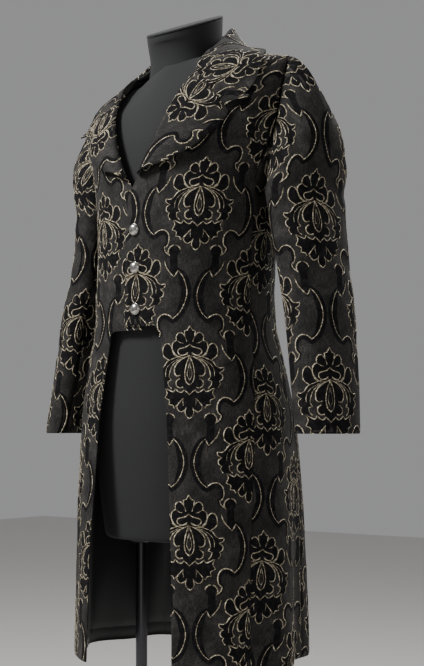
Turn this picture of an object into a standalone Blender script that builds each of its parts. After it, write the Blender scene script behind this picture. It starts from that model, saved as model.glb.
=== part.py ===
"""A long cutaway tailcoat in figured brocade, worn by a limbless dress form on a pole stand.

Metres, +Z up. The wearer faces -Y, so the wearer's left is +X. The origin is on the floor, at the
centre of the stand's round base, straight below the middle of the neck.

The coat's body is one smooth worn surface, body(theta, level). theta is degrees round the wearer from
centre front, positive to the wearer's left. level is the height of the ring, where it crosses the
middle of the shoulder. Each panel is a piece of that surface, cut at its seams and given a wall.
"""

import math

import bmesh
import bpy
import numpy as np
from mathutils import Matrix, Vector

# Driving dimensions
CLOTH = 0.0025  # brocade, canvas and fusing together
LINING = 0.001
SEAM_GAP = 0.0004  # between two pieces that a seam joins
REST_GAP = 0.0003  # between a piece and what it lies on
SHOULDER_DROP = 0.030
SHOULDER_NEARER = 0.018  # the wearer's right half is drawn in this much
CAP_FULL = 0.016  # how far the sleeve head stands out
BUTTON_X = 0.006
HEM = 0.435
RIGHT_LOWER = 0.006  # the right front's cut edge hangs this much lower
CUT = 1.011  # the short level edge below the last button
CLOSE_TOP = 1.252  # where the lapels start to turn back
SHOULDER_TOP = 1.485
UNDERARM = 1.290
SLOPE_AT = 0.145  # distance from the middle where a ring's level is its height
ROUNDNESS = 2 / 2.2  # 1 would make the rings ellipses
OVERLAP = 0.010  # each front runs this far past the middle
BACK_SEAM = 118.0
VENT_TOP = 0.93
VENT_OPEN = 0.007
BUTTON_RADIUS = 0.010
BUTTON_HEIGHT = 0.007
BUTTON_LEVELS = (1.040, 1.110, 1.174)
FORM_BOTTOM = 0.645
BASE_RADIUS = 0.19
BASE_THICK = 0.008
NECK_TOP = 1.5535
NECK_SLOPE = 0.45  # its cut top rises this much for each metre towards the back
POLE_RADIUS = 0.0105
POLE_AT = (-0.090, -0.012)
SLEEVE_COLUMNS = 24
UNDER_COLUMNS = 4  # on each side of the sleeve's inner line, the under sleeve's share


def table(names, *rows):
    """A table with named columns."""
    return {name: np.array(column, float) for name, column in zip(names.split(), zip(*rows))}


RINGS = table(
    "level half front back tilt",
    (0.435, 0.205, 0.178, 0.200, 0.0),
    (0.600, 0.202, 0.172, 0.198, 0.0),
    (0.750, 0.198, 0.164, 0.195, 0.0),
    (0.870, 0.190, 0.157, 0.183, 0.0),
    (0.950, 0.176, 0.151, 0.166, 0.0),
    (1.030, 0.160, 0.147, 0.148, 0.0),
    (1.100, 0.161, 0.148, 0.143, 0.0),
    (1.180, 0.168, 0.150, 0.143, 0.0),
    (1.270, 0.1795, 0.149, 0.139, 0.0),
    (1.340, 0.206, 0.139, 0.134, 0.04),
    (1.400, 0.2125, 0.114, 0.119, 0.12),
    (1.430, 0.2135, 0.091, 0.100, 0.18),
    (1.455, 0.2155, 0.066, 0.073, 0.23),
    (1.473, 0.2165, 0.038, 0.043, 0.26),
    (1.485, 0.217, 0.0, 0.0, 0.286),
)

# The line down each front where the cutaway edge falls, and the edge of the closed part and roll above it
FRONT_LINE = table(
    "level x",
    (0.435, 0.094),
    (0.600, 0.090),
    (0.750, 0.081),
    (0.870, 0.072),
    (0.950, 0.061),
    (0.992, 0.054),
    (1.080, 0.052),
    (1.256, 0.054),
    (1.300, 0.064),
    (1.350, 0.083),
    (1.400, 0.106),
    (1.440, 0.124),
    (1.485, 0.126),
)
INNER_LINE = table(
    "level x",
    (0.435, -OVERLAP),
    (1.205, -OVERLAP),
    (1.230, -0.008),
    (1.247, 0.0015),
    (1.262, 0.012),
    (1.278, 0.022),
    (1.300, 0.034),
    (1.330, 0.048),
    (1.360, 0.0615),
    (1.385, 0.072),
    (1.410, 0.0815),
    (1.437, 0.090),
    (1.460, 0.091),
    (1.485, 0.086),
)
# The seam between each front and the panel beside it
SIDE_LINE = table(
    "level theta",
    (0.435, 70.0),
    (0.750, 71.5),
    (0.870, 74.0),
    (0.950, 78.0),
    (1.030, 81.5),
    (1.120, 81.5),
    (1.200, 80.0),
    (1.290, 80.0),
)
BACK_NECK = table(
    "level x",
    (1.455, 0.0),
    (1.464, 0.045),
    (1.473, 0.066),
    (1.485, 0.086),
)
ARM_FRONT = table(
    "theta level",
    (98.0, 1.283),
    (88.0, 1.285),
    (80.0, UNDERARM),
    (80.5, 1.320),
    (81.5, 1.350),
    (82.0, 1.380),
    (83.0, 1.410),
    (84.5, 1.440),
    (86.5, 1.465),
    (90.0, SHOULDER_TOP),
)
ARM_BACK = table(
    "theta level",
    (98.0, 1.283),
    (108.0, 1.285),
    (BACK_SEAM, UNDERARM),
    (120.5, 1.325),
    (121.0, 1.360),
    (118.5, 1.395),
    (112.0, 1.430),
    (102.0, 1.462),
    (90.0, SHOULDER_TOP),
)
# Folds that hang in the skirt: place and half width round the body, depth at the hem, and where each dies out
SKIRT_FOLDS = table(
    "theta width depth top",
    (44.0, 13.0, -0.004, 0.95),
    (72.0, 9.0, -0.011, 1.00),
    (90.0, 10.0, 0.012, 0.98),
    (110.0, 9.0, -0.010, 0.95),
    (130.0, 11.0, 0.014, 0.97),
    (149.0, 9.0, -0.012, 0.94),
    (166.0, 9.0, 0.010, 0.92),
)
SLEEVE = table(
    "height x y minor major turn",
    (0.830, 0.289, 0.008, 0.038, 0.062, 20.0),
    (0.930, 0.275, 0.021, 0.042, 0.066, 19.0),
    (1.030, 0.261, 0.030, 0.045, 0.069, 17.0),
    (1.130, 0.2435, 0.034, 0.047, 0.073, 16.0),
    (1.235, 0.2300, 0.031, 0.047, 0.080, 15.0),
)
SLEEVE_HEIGHTS = (0.830, 0.880, 0.930, 0.980, 1.030, 1.080, 1.130, 1.185, 1.235)
CAP_STEPS = (0.2, 0.4, 0.58, 0.74, 0.88, 1.0)
# The lapel, from its bottom to its top: the height on the roll line, then the outer edge, pointed at the end
LAPEL = table(
    "roll_level edge_x edge_level",
    (1.266, 0.023, 1.267),
    (1.276, 0.044, 1.274),
    (UNDERARM, 0.070, 1.281),
    (1.320, 0.106, 1.300),
    (1.350, 0.134, 1.322),
    (1.380, 0.151, 1.343),
    (1.403, 0.1575, 1.356),
    (1.419, 0.158, 1.364),
    (1.431, 0.152, 1.371),
)
LEAF_ACROSS = (0.10, 0.28, 0.50, 0.75, 1.0)
# The turned-down collar, from its front end (0) round to the middle of the back (1): the fold, the middle
# of the leaf, and where on the shoulders its edge lies
COLLAR = table(
    "along fold_x fold_y fold_z mid_x mid_y mid_z edge_x edge_y",
    (0.00, 0.0856, -0.0853, 1.4435, 0.1230, -0.0990, 1.4100, 0.155, -0.094),
    (0.18, 0.0885, -0.0520, 1.4815, 0.1370, -0.0650, 1.4480, 0.180, -0.066),
    (0.36, 0.0900, -0.0160, 1.5120, 0.1340, -0.0280, 1.4860, 0.186, -0.038),
    (0.52, 0.0840, 0.0210, 1.5410, 0.1170, 0.0160, 1.5060, 0.172, -0.004),
    (0.68, 0.0650, 0.0560, 1.5530, 0.0960, 0.0680, 1.5100, 0.137, 0.044),
    (0.84, 0.0360, 0.0770, 1.5560, 0.0560, 0.0930, 1.5140, 0.080, 0.080),
    (1.00, 0.0000, 0.0840, 1.5570, 0.0000, 0.1020, 1.5150, 0.000, 0.089),
)
# The form inside: fuller than a wearer would fill it at the chest, and slack below the waist
FORM = table(
    "level half front back",
    (0.645, 0.150, 0.118, 0.118),
    (0.750, 0.164, 0.128, 0.136),
    (0.850, 0.170, 0.134, 0.148),
    (0.950, 0.157, 0.132, 0.128),
    (1.030, 0.143, 0.130, 0.101),
    (1.100, 0.145, 0.132, 0.098),
    (1.180, 0.154, 0.134, 0.108),
    (1.270, 0.162, 0.133, 0.118),
    (1.340, 0.172, 0.124, 0.119),
    (1.400, 0.185, 0.100, 0.106),
)
NECK = table(
    "height half_x half_y y",
    (1.430, 0.078, 0.060, 0.004),
    (1.460, 0.071, 0.058, 0.003),
    (1.485, 0.065, 0.058, 0.002),
    (1.515, 0.066, 0.064, 0.001),
    (NECK_TOP, 0.067, 0.069, 0.000),
)

FRONT_LEVELS = (
    0.435, 0.50, 0.57, 0.64, 0.71, 0.78, 0.84, 0.90, 0.95, 1.00, 1.04, 1.09, 1.14, 1.19, 1.225,
    CLOSE_TOP, 1.271, UNDERARM, 1.32, 1.35, 1.38, 1.41, 1.435, 1.455, 1.464, 1.473, SHOULDER_TOP,
)
CUT_ROW = FRONT_LEVELS.index(1.00)
FORM_LEVELS = (
    0.645, 0.70, 0.76, 0.82, 0.88, 0.94, 1.00, 1.06, 1.13, 1.20, 1.27, 1.33, 1.38, 1.41, 1.435, 1.455,
    1.472, SHOULDER_TOP,
)
CLOSED_COLUMNS = 3
FRONT_COLUMNS = 7
SIDE_COLUMNS = 5
BACK_COLUMNS = 6


def smooth(rows, key, column, at):
    """The value of one column at the places given, on a smooth curve through the table's rows."""
    xs, ys = rows[key], rows[column]
    if xs[0] > xs[-1]:
        xs, ys = xs[::-1], ys[::-1]
    slopes = np.gradient(ys, xs)
    at = np.clip(at, xs[0], xs[-1])
    i = np.clip(np.searchsorted(xs, at, side="right") - 1, 0, len(xs) - 2)
    span = xs[i + 1] - xs[i]
    t = (at - xs[i]) / span
    start = ys[i] + t * t * (3 - 2 * t) * (ys[i + 1] - ys[i])
    return start + span * t * (1 - t) * ((1 - t) * slopes[i] - t * slopes[i + 1])


def unit(vectors):
    return vectors / np.maximum(np.linalg.norm(vectors, axis=-1, keepdims=True), 1e-12)


def ease(t):
    """0 to 1, starting and ending gently."""
    t = np.clip(t, 0, 1)
    return t * t * (3 - 2 * t)


def ring(theta, half, front, back):
    """A point on a rounded ring: flatter than an ellipse at the front, back and sides."""
    s, c = np.sin(np.radians(theta)), np.cos(np.radians(theta))
    x = half * np.sign(s) * np.abs(s) ** ROUNDNESS
    y = -np.where(c > 0, front, back) * np.sign(c) * np.abs(c) ** ROUNDNESS
    return x, y


def skirt_fold(theta, level):
    """How far the skirt's hanging folds stand out of the plain ring."""
    out = np.zeros(np.broadcast(theta, level).shape)
    for place, width, depth, top in zip(*SKIRT_FOLDS.values()):
        grown = ease((top - level) / (top - HEM))
        out = out + depth * grown * np.exp(-(((np.abs(theta) - place) / width) ** 2))
    return out


def body(theta, level):
    """The outside of the worn coat."""
    sizes = [smooth(RINGS, "level", name, level) for name in ("half", "front", "back")]
    x, y = ring(theta, *sizes)
    z = level - smooth(RINGS, "level", "tilt", level) * (np.abs(x) - SLOPE_AT)
    fold = skirt_fold(theta, level)
    x = x + fold * np.sin(np.radians(theta))
    y = y - fold * np.cos(np.radians(theta))
    return np.stack(np.broadcast_arrays(x, y, z), axis=-1)


def body_normal(theta, level):
    """The way out of the coat. At the shoulder seam it is straight up, so that both panels end in one plane."""
    step_t, step_l = 0.8, 0.003
    low = np.minimum(level, SHOULDER_TOP - 2 * step_l)
    round_it = body(theta + step_t, low) - body(theta - step_t, low)
    up_it = body(theta, low + step_l) - body(theta, low - step_l)
    normal = unit(np.cross(round_it, up_it))
    near_top = ease((level - SHOULDER_TOP + 0.030) / 0.030)
    normal[..., 1] *= 1 - near_top
    return unit(normal)


def droop(points):
    """The wearer's right shoulder hangs lower than the left."""
    low = ease((0.06 - points[..., 0]) / 0.20) * ease((points[..., 2] - 1.29) / 0.18)
    near = ease(-points[..., 0] / 0.18) * ease((points[..., 2] - 1.02) / 0.20)
    return points + np.stack([SHOULDER_NEARER * near, 0 * low, -SHOULDER_DROP * low], axis=-1)


def on_shoulders(x, y):
    """The coat's surface, and the way out of it, at a place on the shoulders seen from above."""
    low, high = np.full(x.shape, 1.20), np.full(x.shape, SHOULDER_TOP - 1e-5)
    for _ in range(40):
        level = (low + high) / 2
        half, ahead, behind = (smooth(RINGS, "level", name, level) for name in ("half", "front", "back"))
        depth = np.where(y < 0, ahead, behind)
        inside = (np.abs(x) / half) ** (2 / ROUNDNESS) + (np.abs(y) / depth) ** (2 / ROUNDNESS) < 1
        low, high = np.where(inside, level, low), np.where(inside, high, level)
    theta = theta_of(x, level)
    theta = np.where(y < 0, theta, np.sign(x + 1e-9) * 180 - theta)
    return body(theta, level), body_normal(theta, level)


def theta_of(x, level):
    """The angle, on the front, where the ring passes x."""
    share = np.clip(np.abs(x) / smooth(RINGS, "level", "half", level), 0, 1)
    return np.sign(x) * np.degrees(np.arcsin(share ** (1 / ROUNDNESS)))


def material(name, colour, roughness, metallic=0.0):
    made = bpy.data.materials.new(name)
    made.use_nodes = True
    shader = made.node_tree.nodes["Principled BSDF"]
    shader.inputs["Base Color"].default_value = (*colour, 1)
    shader.inputs["Roughness"].default_value = roughness
    shader.inputs["Metallic"].default_value = metallic
    made.diffuse_color = (*colour, 1)
    return made


def add_object(name, mesh, finish, sharp_angle=40.0):
    mesh.materials.append(finish)
    mesh.shade_smooth()
    mesh.set_sharp_from_angle(angle=math.radians(sharp_angle))
    made = bpy.data.objects.new(name, mesh)
    bpy.context.scene.collection.objects.link(made)
    return made


def mesh_of(name, points, faces):
    """A closed mesh, its faces turned outwards."""
    mesh = bpy.data.meshes.new(name)
    mesh.from_pydata([tuple(p) for p in points], [], faces)
    shape = bmesh.new()
    shape.from_mesh(mesh)
    bmesh.ops.remove_doubles(shape, verts=shape.verts, dist=1e-5)
    bmesh.ops.recalc_face_normals(shape, faces=shape.faces)
    shape.to_mesh(mesh)
    shape.free()
    return mesh


def wall(name, outer, inner, finish, keep=None, mirrored=False):
    """A closed sheet of cloth between two grids of points. keep says which cells of the grid are cloth.
    Every cell is cut along the same diagonal, so that sheets made on one grid stay parallel."""
    rows, columns = outer.shape[:2]
    if keep is None:
        keep = np.ones((rows - 1, columns - 1), bool)
    if mirrored:
        outer, inner = outer * (-1, 1, 1), inner * (-1, 1, 1)
    used = np.zeros((rows, columns), bool)
    for r, c in np.argwhere(keep):
        used[r : r + 2, c : c + 2] = True
    index = np.full((rows, columns), -1)
    index[used] = np.arange(used.sum())
    count = int(used.sum())
    quads = [
        (index[r, c], index[r, c + 1], index[r + 1, c + 1], index[r + 1, c])
        for r, c in np.argwhere(keep)
    ]
    edges = {}
    for quad in quads:
        for a, b in zip(quad, quad[1:] + quad[:1]):
            edges[(a, b)] = True
    halves = [half for a, b, c, d in quads for half in ((a, b, c), (a, c, d))]
    faces = [tuple(int(i) for i in half) for half in halves]
    faces += [tuple(int(i) + count for i in reversed(half)) for half in halves]
    for a, b in edges:
        if (b, a) not in edges:
            faces.append((int(b), int(a), int(a) + count, int(b) + count))
    if mirrored:
        faces = [tuple(reversed(face)) for face in faces]
    points = droop(np.concatenate([outer[used], inner[used]]))
    return add_object(name, mesh_of(name, points, faces), finish)


def in_by(outer, normal, depth):
    return outer - normal * np.asarray(depth)[..., None]


def side_name(mirrored):
    return "right" if mirrored else "left"


def column_angles(level):
    """The front's columns on one ring: the closed part, then the panel out to the side seam or armhole."""
    seam = math.degrees(SEAM_GAP / 2 / 0.18)
    inner = theta_of(smooth(INNER_LINE, "level", "x", level), level)
    line = theta_of(smooth(FRONT_LINE, "level", "x", level), level)
    outer = smooth(SIDE_LINE, "level", "theta", level) - seam
    if level > UNDERARM:
        outer = arm_theta(ARM_FRONT, level)
    closed = np.linspace(inner, line, CLOSED_COLUMNS + 1)[:-1]
    return np.concatenate([closed, np.linspace(line, outer, FRONT_COLUMNS + 1)])


def arm_theta(arm, level):
    """The angle where the armhole crosses a ring above the underarm."""
    part = {name: arm[name][2:] for name in arm}
    return smooth(part, "level", "theta", level)


def shoulder_gap(outer, inner, theta):
    """Parts the front and back shoulder seams, which both end on the line y = 0."""
    side = np.where(np.abs(theta[-1]) < 90, -1, 1)
    for grid in (outer, inner):
        grid[-1, :, 1] += side * SEAM_GAP / 2


def front(mirrored, finish):
    """One front, shoulder to hem in one piece, with the closed part and its level cut edge."""
    levels = np.array(FRONT_LEVELS)
    theta = np.array([column_angles(level) for level in levels])
    theta[-1, -1] = min(theta[-1, -1], 89.0)
    level = np.repeat(levels[:, None], theta.shape[1], axis=1)
    level[CUT_ROW, :CLOSED_COLUMNS] += (CUT - levels[CUT_ROW]) * np.array([1.0, 1.1, 0.9])
    if mirrored:
        level[CUT_ROW, : CLOSED_COLUMNS + 1] -= RIGHT_LOWER
    outer, normal = body(theta, level), body_normal(theta, level)
    if mirrored:
        under = CLOTH + 2 * REST_GAP
        near_middle = 1 - ease((outer[..., 0] - 0.022) / 0.035)
        outer = in_by(outer, normal, under * near_middle)
    inner = in_by(outer, normal, CLOTH)
    shoulder_gap(outer, inner, theta)
    keep = np.ones((len(levels) - 1, theta.shape[1] - 1), bool)
    keep[:CUT_ROW, :CLOSED_COLUMNS] = False
    return wall(f"front_{side_name(mirrored)}", outer, inner, finish, keep, mirrored)


def seam_levels():
    """The rings that the side and back share with the fronts, up to the underarm."""
    return np.array([level for level in FRONT_LEVELS if level <= CLOSE_TOP])


def side_angles(level):
    seam = math.degrees(SEAM_GAP / 2 / 0.18)
    return np.linspace(smooth(SIDE_LINE, "level", "theta", level) + seam, BACK_SEAM - seam, SIDE_COLUMNS + 1)


def side_body(mirrored, finish):
    """The narrow panel under the arm, up to the bottom of the armhole."""
    arm = {name: np.concatenate([ARM_FRONT[name][2:0:-1], ARM_BACK[name][:3]]) for name in ARM_FRONT}
    top = smooth(arm, "theta", "level", side_angles(UNDERARM))
    levels = [np.full(SIDE_COLUMNS + 1, level) for level in seam_levels()]
    level = np.array(levels + [(CLOSE_TOP + top) / 2, top])
    theta = np.array([side_angles(row[0]) for row in level])
    outer, normal = body(theta, level), body_normal(theta, level)
    inner = in_by(outer, normal, CLOTH)
    return wall(f"side_{side_name(mirrored)}", outer, inner, finish, None, mirrored)


def back(mirrored, finish):
    """Half the back, neck to hem, with the vent below the seat."""
    seam = math.degrees(SEAM_GAP / 2 / 0.18)
    levels = np.array(FRONT_LEVELS)
    rows = []
    for level in levels:
        outer = BACK_SEAM + seam if level <= UNDERARM else arm_theta(ARM_BACK, level)
        middle = 180.0 - math.degrees(SEAM_GAP / 2 / 0.12)
        if level < VENT_TOP:
            spread = VENT_OPEN * ease((VENT_TOP - level) / (VENT_TOP - HEM))
            middle -= math.degrees(spread / 0.2)
        if level > BACK_NECK["level"][0]:
            neck = smooth(BACK_NECK, "level", "x", level)
            middle = min(middle, 180.0 - theta_of(neck, level))
        rows.append(np.linspace(outer, middle, BACK_COLUMNS + 1))
    theta = np.array(rows)
    theta[-1, 0] = max(theta[-1, 0], 91.0)
    level = np.repeat(levels[:, None], theta.shape[1], axis=1)
    outer, normal = body(theta, level), body_normal(theta, level)
    inner = in_by(outer, normal, CLOTH)
    shoulder_gap(outer, inner, theta)
    return wall(f"back_{side_name(mirrored)}", outer, inner, finish, None, mirrored)


def tail_lining(mirrored, finish):
    """The lining that shows inside the open skirt, just inside the panels and on their columns."""
    levels = seam_levels()
    levels = levels[levels <= CUT]
    seam_angle = math.degrees(SEAM_GAP / 2 / 0.18)
    rows = []
    for level in levels:
        line = theta_of(smooth(FRONT_LINE, "level", "x", level), level)
        spread = VENT_OPEN * ease((VENT_TOP - level) / (VENT_TOP - HEM))
        middle = 180.0 - math.degrees(SEAM_GAP / 2 / 0.12) - math.degrees(spread / 0.2)
        side = side_angles(level)
        parts = (
            np.linspace(line, side[0] - 2 * seam_angle, FRONT_COLUMNS + 1)[:-1],
            side[:-1],
            np.linspace(BACK_SEAM + seam_angle, middle, BACK_COLUMNS + 1),
        )
        rows.append(np.concatenate(parts))
    theta = np.array(rows)
    level = np.repeat(levels[:, None], theta.shape[1], axis=1)
    outer, normal = body(theta, level), body_normal(theta, level)
    near = in_by(outer, normal, CLOTH + 2 * REST_GAP)
    far = in_by(near, normal, LINING)
    for grid in (near, far):
        grid[0] += 0.18 * (grid[1] - grid[0])
        grid[-1] += 0.30 * (grid[-2] - grid[-1])
        grid[:, 0] += 0.20 * (grid[:, 1] - grid[:, 0])
        grid[:, -1] += 0.10 * (grid[:, -2] - grid[:, -1])
    return wall(f"tail_lining_{side_name(mirrored)}", near, far, finish, None, mirrored)


def along_line(points, shares):
    """Points at the shares given of a line's length."""
    steps = np.linalg.norm(np.diff(points, axis=0), axis=1)
    length = np.concatenate([[0], np.cumsum(steps)])
    return np.stack([np.interp(shares * length[-1], length, points[:, k]) for k in range(3)], axis=1)


def arm_edge(arm, count):
    """Half the armhole, from the underarm to the shoulder tip, as count evenly spaced points."""
    rows = {"at": np.arange(len(arm["theta"]), dtype=float), **arm}
    fine = np.linspace(0, rows["at"][-1], 80)
    theta = smooth(rows, "at", "theta", fine)
    level = smooth(rows, "at", "level", fine)
    return along_line(body(theta, level), np.linspace(0, 1, count))


def sleeve_rings():
    """The sleeve's outside, cuff to armhole: rows of points, from the inner line round by the front."""
    turn = np.radians(np.linspace(0, 360, SLEEVE_COLUMNS + 1))
    rows = []
    for height in SLEEVE_HEIGHTS:
        at = {name: smooth(SLEEVE, "height", name, height) for name in SLEEVE}
        angle = math.radians(at["turn"])
        lateral = np.array([math.cos(angle), -math.sin(angle), 0])
        back_way = np.array([math.sin(angle), math.cos(angle), 0])
        middle = np.array([at["x"], at["y"], height])
        out = -at["minor"] * np.cos(turn)[:, None] * lateral
        rows.append(middle + out - at["major"] * np.sin(turn)[:, None] * back_way)
    half = SLEEVE_COLUMNS // 2 + 1
    loop = np.concatenate([arm_edge(ARM_FRONT, half), arm_edge(ARM_BACK, half)[::-1][1:]])
    loop[:, 0] += 0.0018
    start = rows[-1]
    span = loop - start
    outward = ((1 - np.cos(turn)) / 2)[:, None]
    level_part, upright = span * (1, 1, 0), span * (0, 0, 1)
    leave = upright * (1.0 + 0.95 * outward)
    arrive = outward * (2.0 * level_part + 0.15 * upright) + (1 - outward) * upright
    for t in CAP_STEPS:
        point = start + t * t * (3 - 2 * t) * span
        point = point + t * (1 - t) * ((1 - t) * leave - t * arrive)
        point[:, 0] += CAP_FULL * outward[:, 0] * (4 * t) ** 2 * math.exp(2 - 8 * t) * (1 - t**4)
        rows.append(point)
    return np.array(rows)


def grid_normals(points):
    """Normals of a grid whose columns close into a ring."""
    across = np.roll(points[:, :-1], -1, axis=1) - np.roll(points[:, :-1], 1, axis=1)
    across = np.concatenate([across, across[:, :1]], axis=1)
    along = np.gradient(points, axis=0)
    return unit(np.cross(along, across))


def sleeve(mirrored, finish):
    """A two-piece sleeve: the top sleeve and the under sleeve, with seams at the front and back of the arm."""
    outer = sleeve_rings()
    normal = grid_normals(outer)
    if np.sum(normal[0, 0] * (-1, 0, 0)) < 0:
        normal = -normal
    inner = in_by(outer, normal, CLOTH)
    first, last = UNDER_COLUMNS, SLEEVE_COLUMNS - UNDER_COLUMNS
    name = side_name(mirrored)

    def cut(grid, columns, ends):
        part = grid[:, columns].copy()
        for column, towards in ends:
            way = unit(part[:, towards] - part[:, column])
            part[:, column] += way * 2 * SEAM_GAP
        return part

    top_columns = list(range(last, first - 1, -1))
    under_columns = list(range(first, 0, -1)) + list(range(SLEEVE_COLUMNS, last - 1, -1))
    for piece, columns in (("top_sleeve", top_columns), ("under_sleeve", under_columns)):
        ends = ((0, 1), (-1, -2))
        wall(f"{piece}_{name}", cut(outer, columns, ends), cut(inner, columns, ends), finish, None, mirrored)


def lapel_grids():
    """A lapel's outside and inside, across then along: a rounded roll, then the leaf out to its edge."""
    roll_x = smooth(INNER_LINE, "level", "x", LAPEL["roll_level"])
    roll = np.stack([theta_of(roll_x, LAPEL["roll_level"]), LAPEL["roll_level"]], axis=1)
    edge_theta = theta_of(LAPEL["edge_x"], LAPEL["edge_level"])
    edge = np.stack([edge_theta, LAPEL["edge_level"]], axis=1)
    start, out = body(roll[:, 0], roll[:, 1]), body_normal(roll[:, 0], roll[:, 1])
    beyond = unit(np.cross(np.gradient(start, axis=0), out))
    beyond *= np.sign(np.sum(beyond * (start - body(edge[:, 0], edge[:, 1])), axis=1))[:, None]
    outer, inner = [], []
    for over, height, turn_in in ((0.0034, -0.0015, 0.0), (0.0034, 0.0017, 0.35), (0.0012, 0.0050, 0.8)):
        outer.append(start + beyond * over + out * height)
        inner.append(outer[-1] - unit(beyond * (1 - turn_in) + out * turn_in) * CLOTH)
    along = np.linspace(0, 1, len(roll))
    for share in LEAF_ACROSS:
        path = roll + (edge - roll) * share
        point, normal = body(path[:, 0], path[:, 1]), body_normal(path[:, 0], path[:, 1])
        low_edge = (1 - ease((along - 0.25) / 0.55)) * share
        lift = 0.0056 + 0.0035 * math.sin(math.pi * share) + 0.008 * low_edge - 0.0018 * share
        outer.append(point + normal * lift[:, None])
        inner.append(outer[-1] - normal * CLOTH)
    return np.array(outer), np.array(inner)


def lapel(mirrored, finish):
    """The front's facing turned back over the chest."""
    outer, inner = lapel_grids()
    return wall(f"lapel_{side_name(mirrored)}", outer, inner, finish, None, mirrored)


def collar_line(names, along):
    return np.stack([smooth(COLLAR, "along", name, along) for name in names], axis=1)


def both_halves(half):
    """A grid whose columns run from the left front end to the middle of the back, carried on to the right."""
    return np.concatenate([half, half[..., -2::-1, :] * (-1, 1, 1)], axis=-2)


def collar_leaf(finish):
    """The fall of the collar, over the fold and down on to the shoulders. It starts on the lapel's top edge."""
    along = np.linspace(0, 1, 16)
    fold = collar_line(("fold_x", "fold_y", "fold_z"), along)
    middle = collar_line(("mid_x", "mid_y", "mid_z"), along)
    edge_x, edge_y = collar_line(("edge_x", "edge_y"), along).T
    edge, edge_out = on_shoulders(edge_x, edge_y)
    edge = edge + edge_out * (CLOTH + 0.0028)
    outward = unit((fold - (0, 0.01, 0)) * (1, 1, 0))
    turn_over = ((-0.0036, 0.0018), (-0.0006, 0.0), (0.0022, 0.0010))
    rows = [fold + outward * out - (0, 0, down) for out, down in turn_over]
    for t in LEAF_ACROSS:
        rows.append((1 - t) * (1 - 2 * t) * fold + 4 * t * (1 - t) * middle + t * (2 * t - 1) * edge)
    half = np.array(rows)
    for row in half[1:]:
        place, out = on_shoulders(row[:, 0], row[:, 1])
        short = CLOTH + 0.0047 - np.sum((row - place) * out, axis=1)
        row += out * np.maximum(short, 0)[:, None]
    lapel_outer, lapel_inner = lapel_grids()
    along_top = lapel_outer[-1, -1] - lapel_outer[3, -1]
    onward = unit(np.cross(along_top, lapel_outer[5, -1] - lapel_inner[5, -1])) * 2 * SEAM_GAP
    onward *= np.sign(onward[2])
    half[:, 0] = lapel_outer[:, -1] + onward
    outer = both_halves(half)
    normal = unit(np.cross(np.gradient(outer, axis=1), np.gradient(outer, axis=0)))
    if normal[5, 15, 1] < 0:
        normal = -normal
    inner = in_by(outer, normal, CLOTH)
    inner[:, 0] = lapel_inner[:, -1] + onward
    inner[:, -1] = inner[:, 0] * (-1, 1, 1)
    return wall("collar_leaf", outer, inner, finish)


def neck_edge(count):
    """The neck seam from above the left lapel round to the middle of the back."""
    rise = np.linspace(1.468, SHOULDER_TOP, 12)
    front_part = body(theta_of(smooth(INNER_LINE, "level", "x", rise), rise), rise)
    fall = np.linspace(SHOULDER_TOP, BACK_NECK["level"][0], 16)
    back_part = body(180 - theta_of(smooth(BACK_NECK, "level", "x", fall), fall), fall)
    return along_line(np.concatenate([front_part, back_part[1:]]), np.linspace(0, 1, count))


def collar_stand(finish):
    """The upright band that the collar turns down from, between the neck seam and the fold."""
    along = np.linspace(0.32, 1, 10)
    top = collar_line(("fold_x", "fold_y", "fold_z"), along)
    inward = -unit((top - (0, 0.01, 0)) * (1, 1, 0))
    foot = neck_edge(10) + inward * 0.0016 + (0, 0, 0.0012)
    outer = np.array([foot, top + inward * 0.0016 - (0, 0, 0.0054)])
    inner = outer + inward * 0.0018
    return wall("collar_stand", both_halves(outer), both_halves(inner), finish)


def turned(name, profile, finish, segments=24, place=None, sharp_angle=40.0):
    """A solid of revolution. The profile runs from the axis out and back, as (radius, height)."""
    shape = bmesh.new()
    line = [shape.verts.new((radius, 0, height)) for radius, height in profile]
    edges = [shape.edges.new(pair) for pair in zip(line, line[1:])]
    bmesh.ops.spin(
        shape, geom=line + edges, cent=(0, 0, 0), axis=(0, 0, 1), angle=math.tau, steps=segments, use_merge=True
    )
    bmesh.ops.remove_doubles(shape, verts=shape.verts, dist=1e-5)
    bmesh.ops.recalc_face_normals(shape, faces=shape.faces)
    if shape.calc_volume(signed=True) < 0:
        bmesh.ops.reverse_faces(shape, faces=shape.faces)
    if place is not None:
        shape.transform(place)
    mesh = bpy.data.meshes.new(name)
    shape.to_mesh(mesh)
    shape.free()
    return add_object(name, mesh, finish, sharp_angle)


def button(number, level, finish):
    """A domed metal shank button, seated on the left front."""
    angle = theta_of(np.array(BUTTON_X), np.array(level))
    seat, out = body(angle, np.array(level)), body_normal(angle, np.array(level))
    out = Vector(out)
    place = out.to_track_quat("Z", "Y").to_matrix().to_4x4()
    place.translation = Vector(seat) + out * 2 * REST_GAP
    dome = [
        (BUTTON_RADIUS * math.cos(a), 0.0018 + (BUTTON_HEIGHT - 0.0018) * math.sin(a))
        for a in np.radians([0, 22, 44, 66])
    ]
    profile = [(0, 0), (0.0085, 0), (BUTTON_RADIUS, 0.0010), *dome, (0, BUTTON_HEIGHT)]
    return turned(f"button_{number}", profile, finish, 16, place, 60.0)


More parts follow.
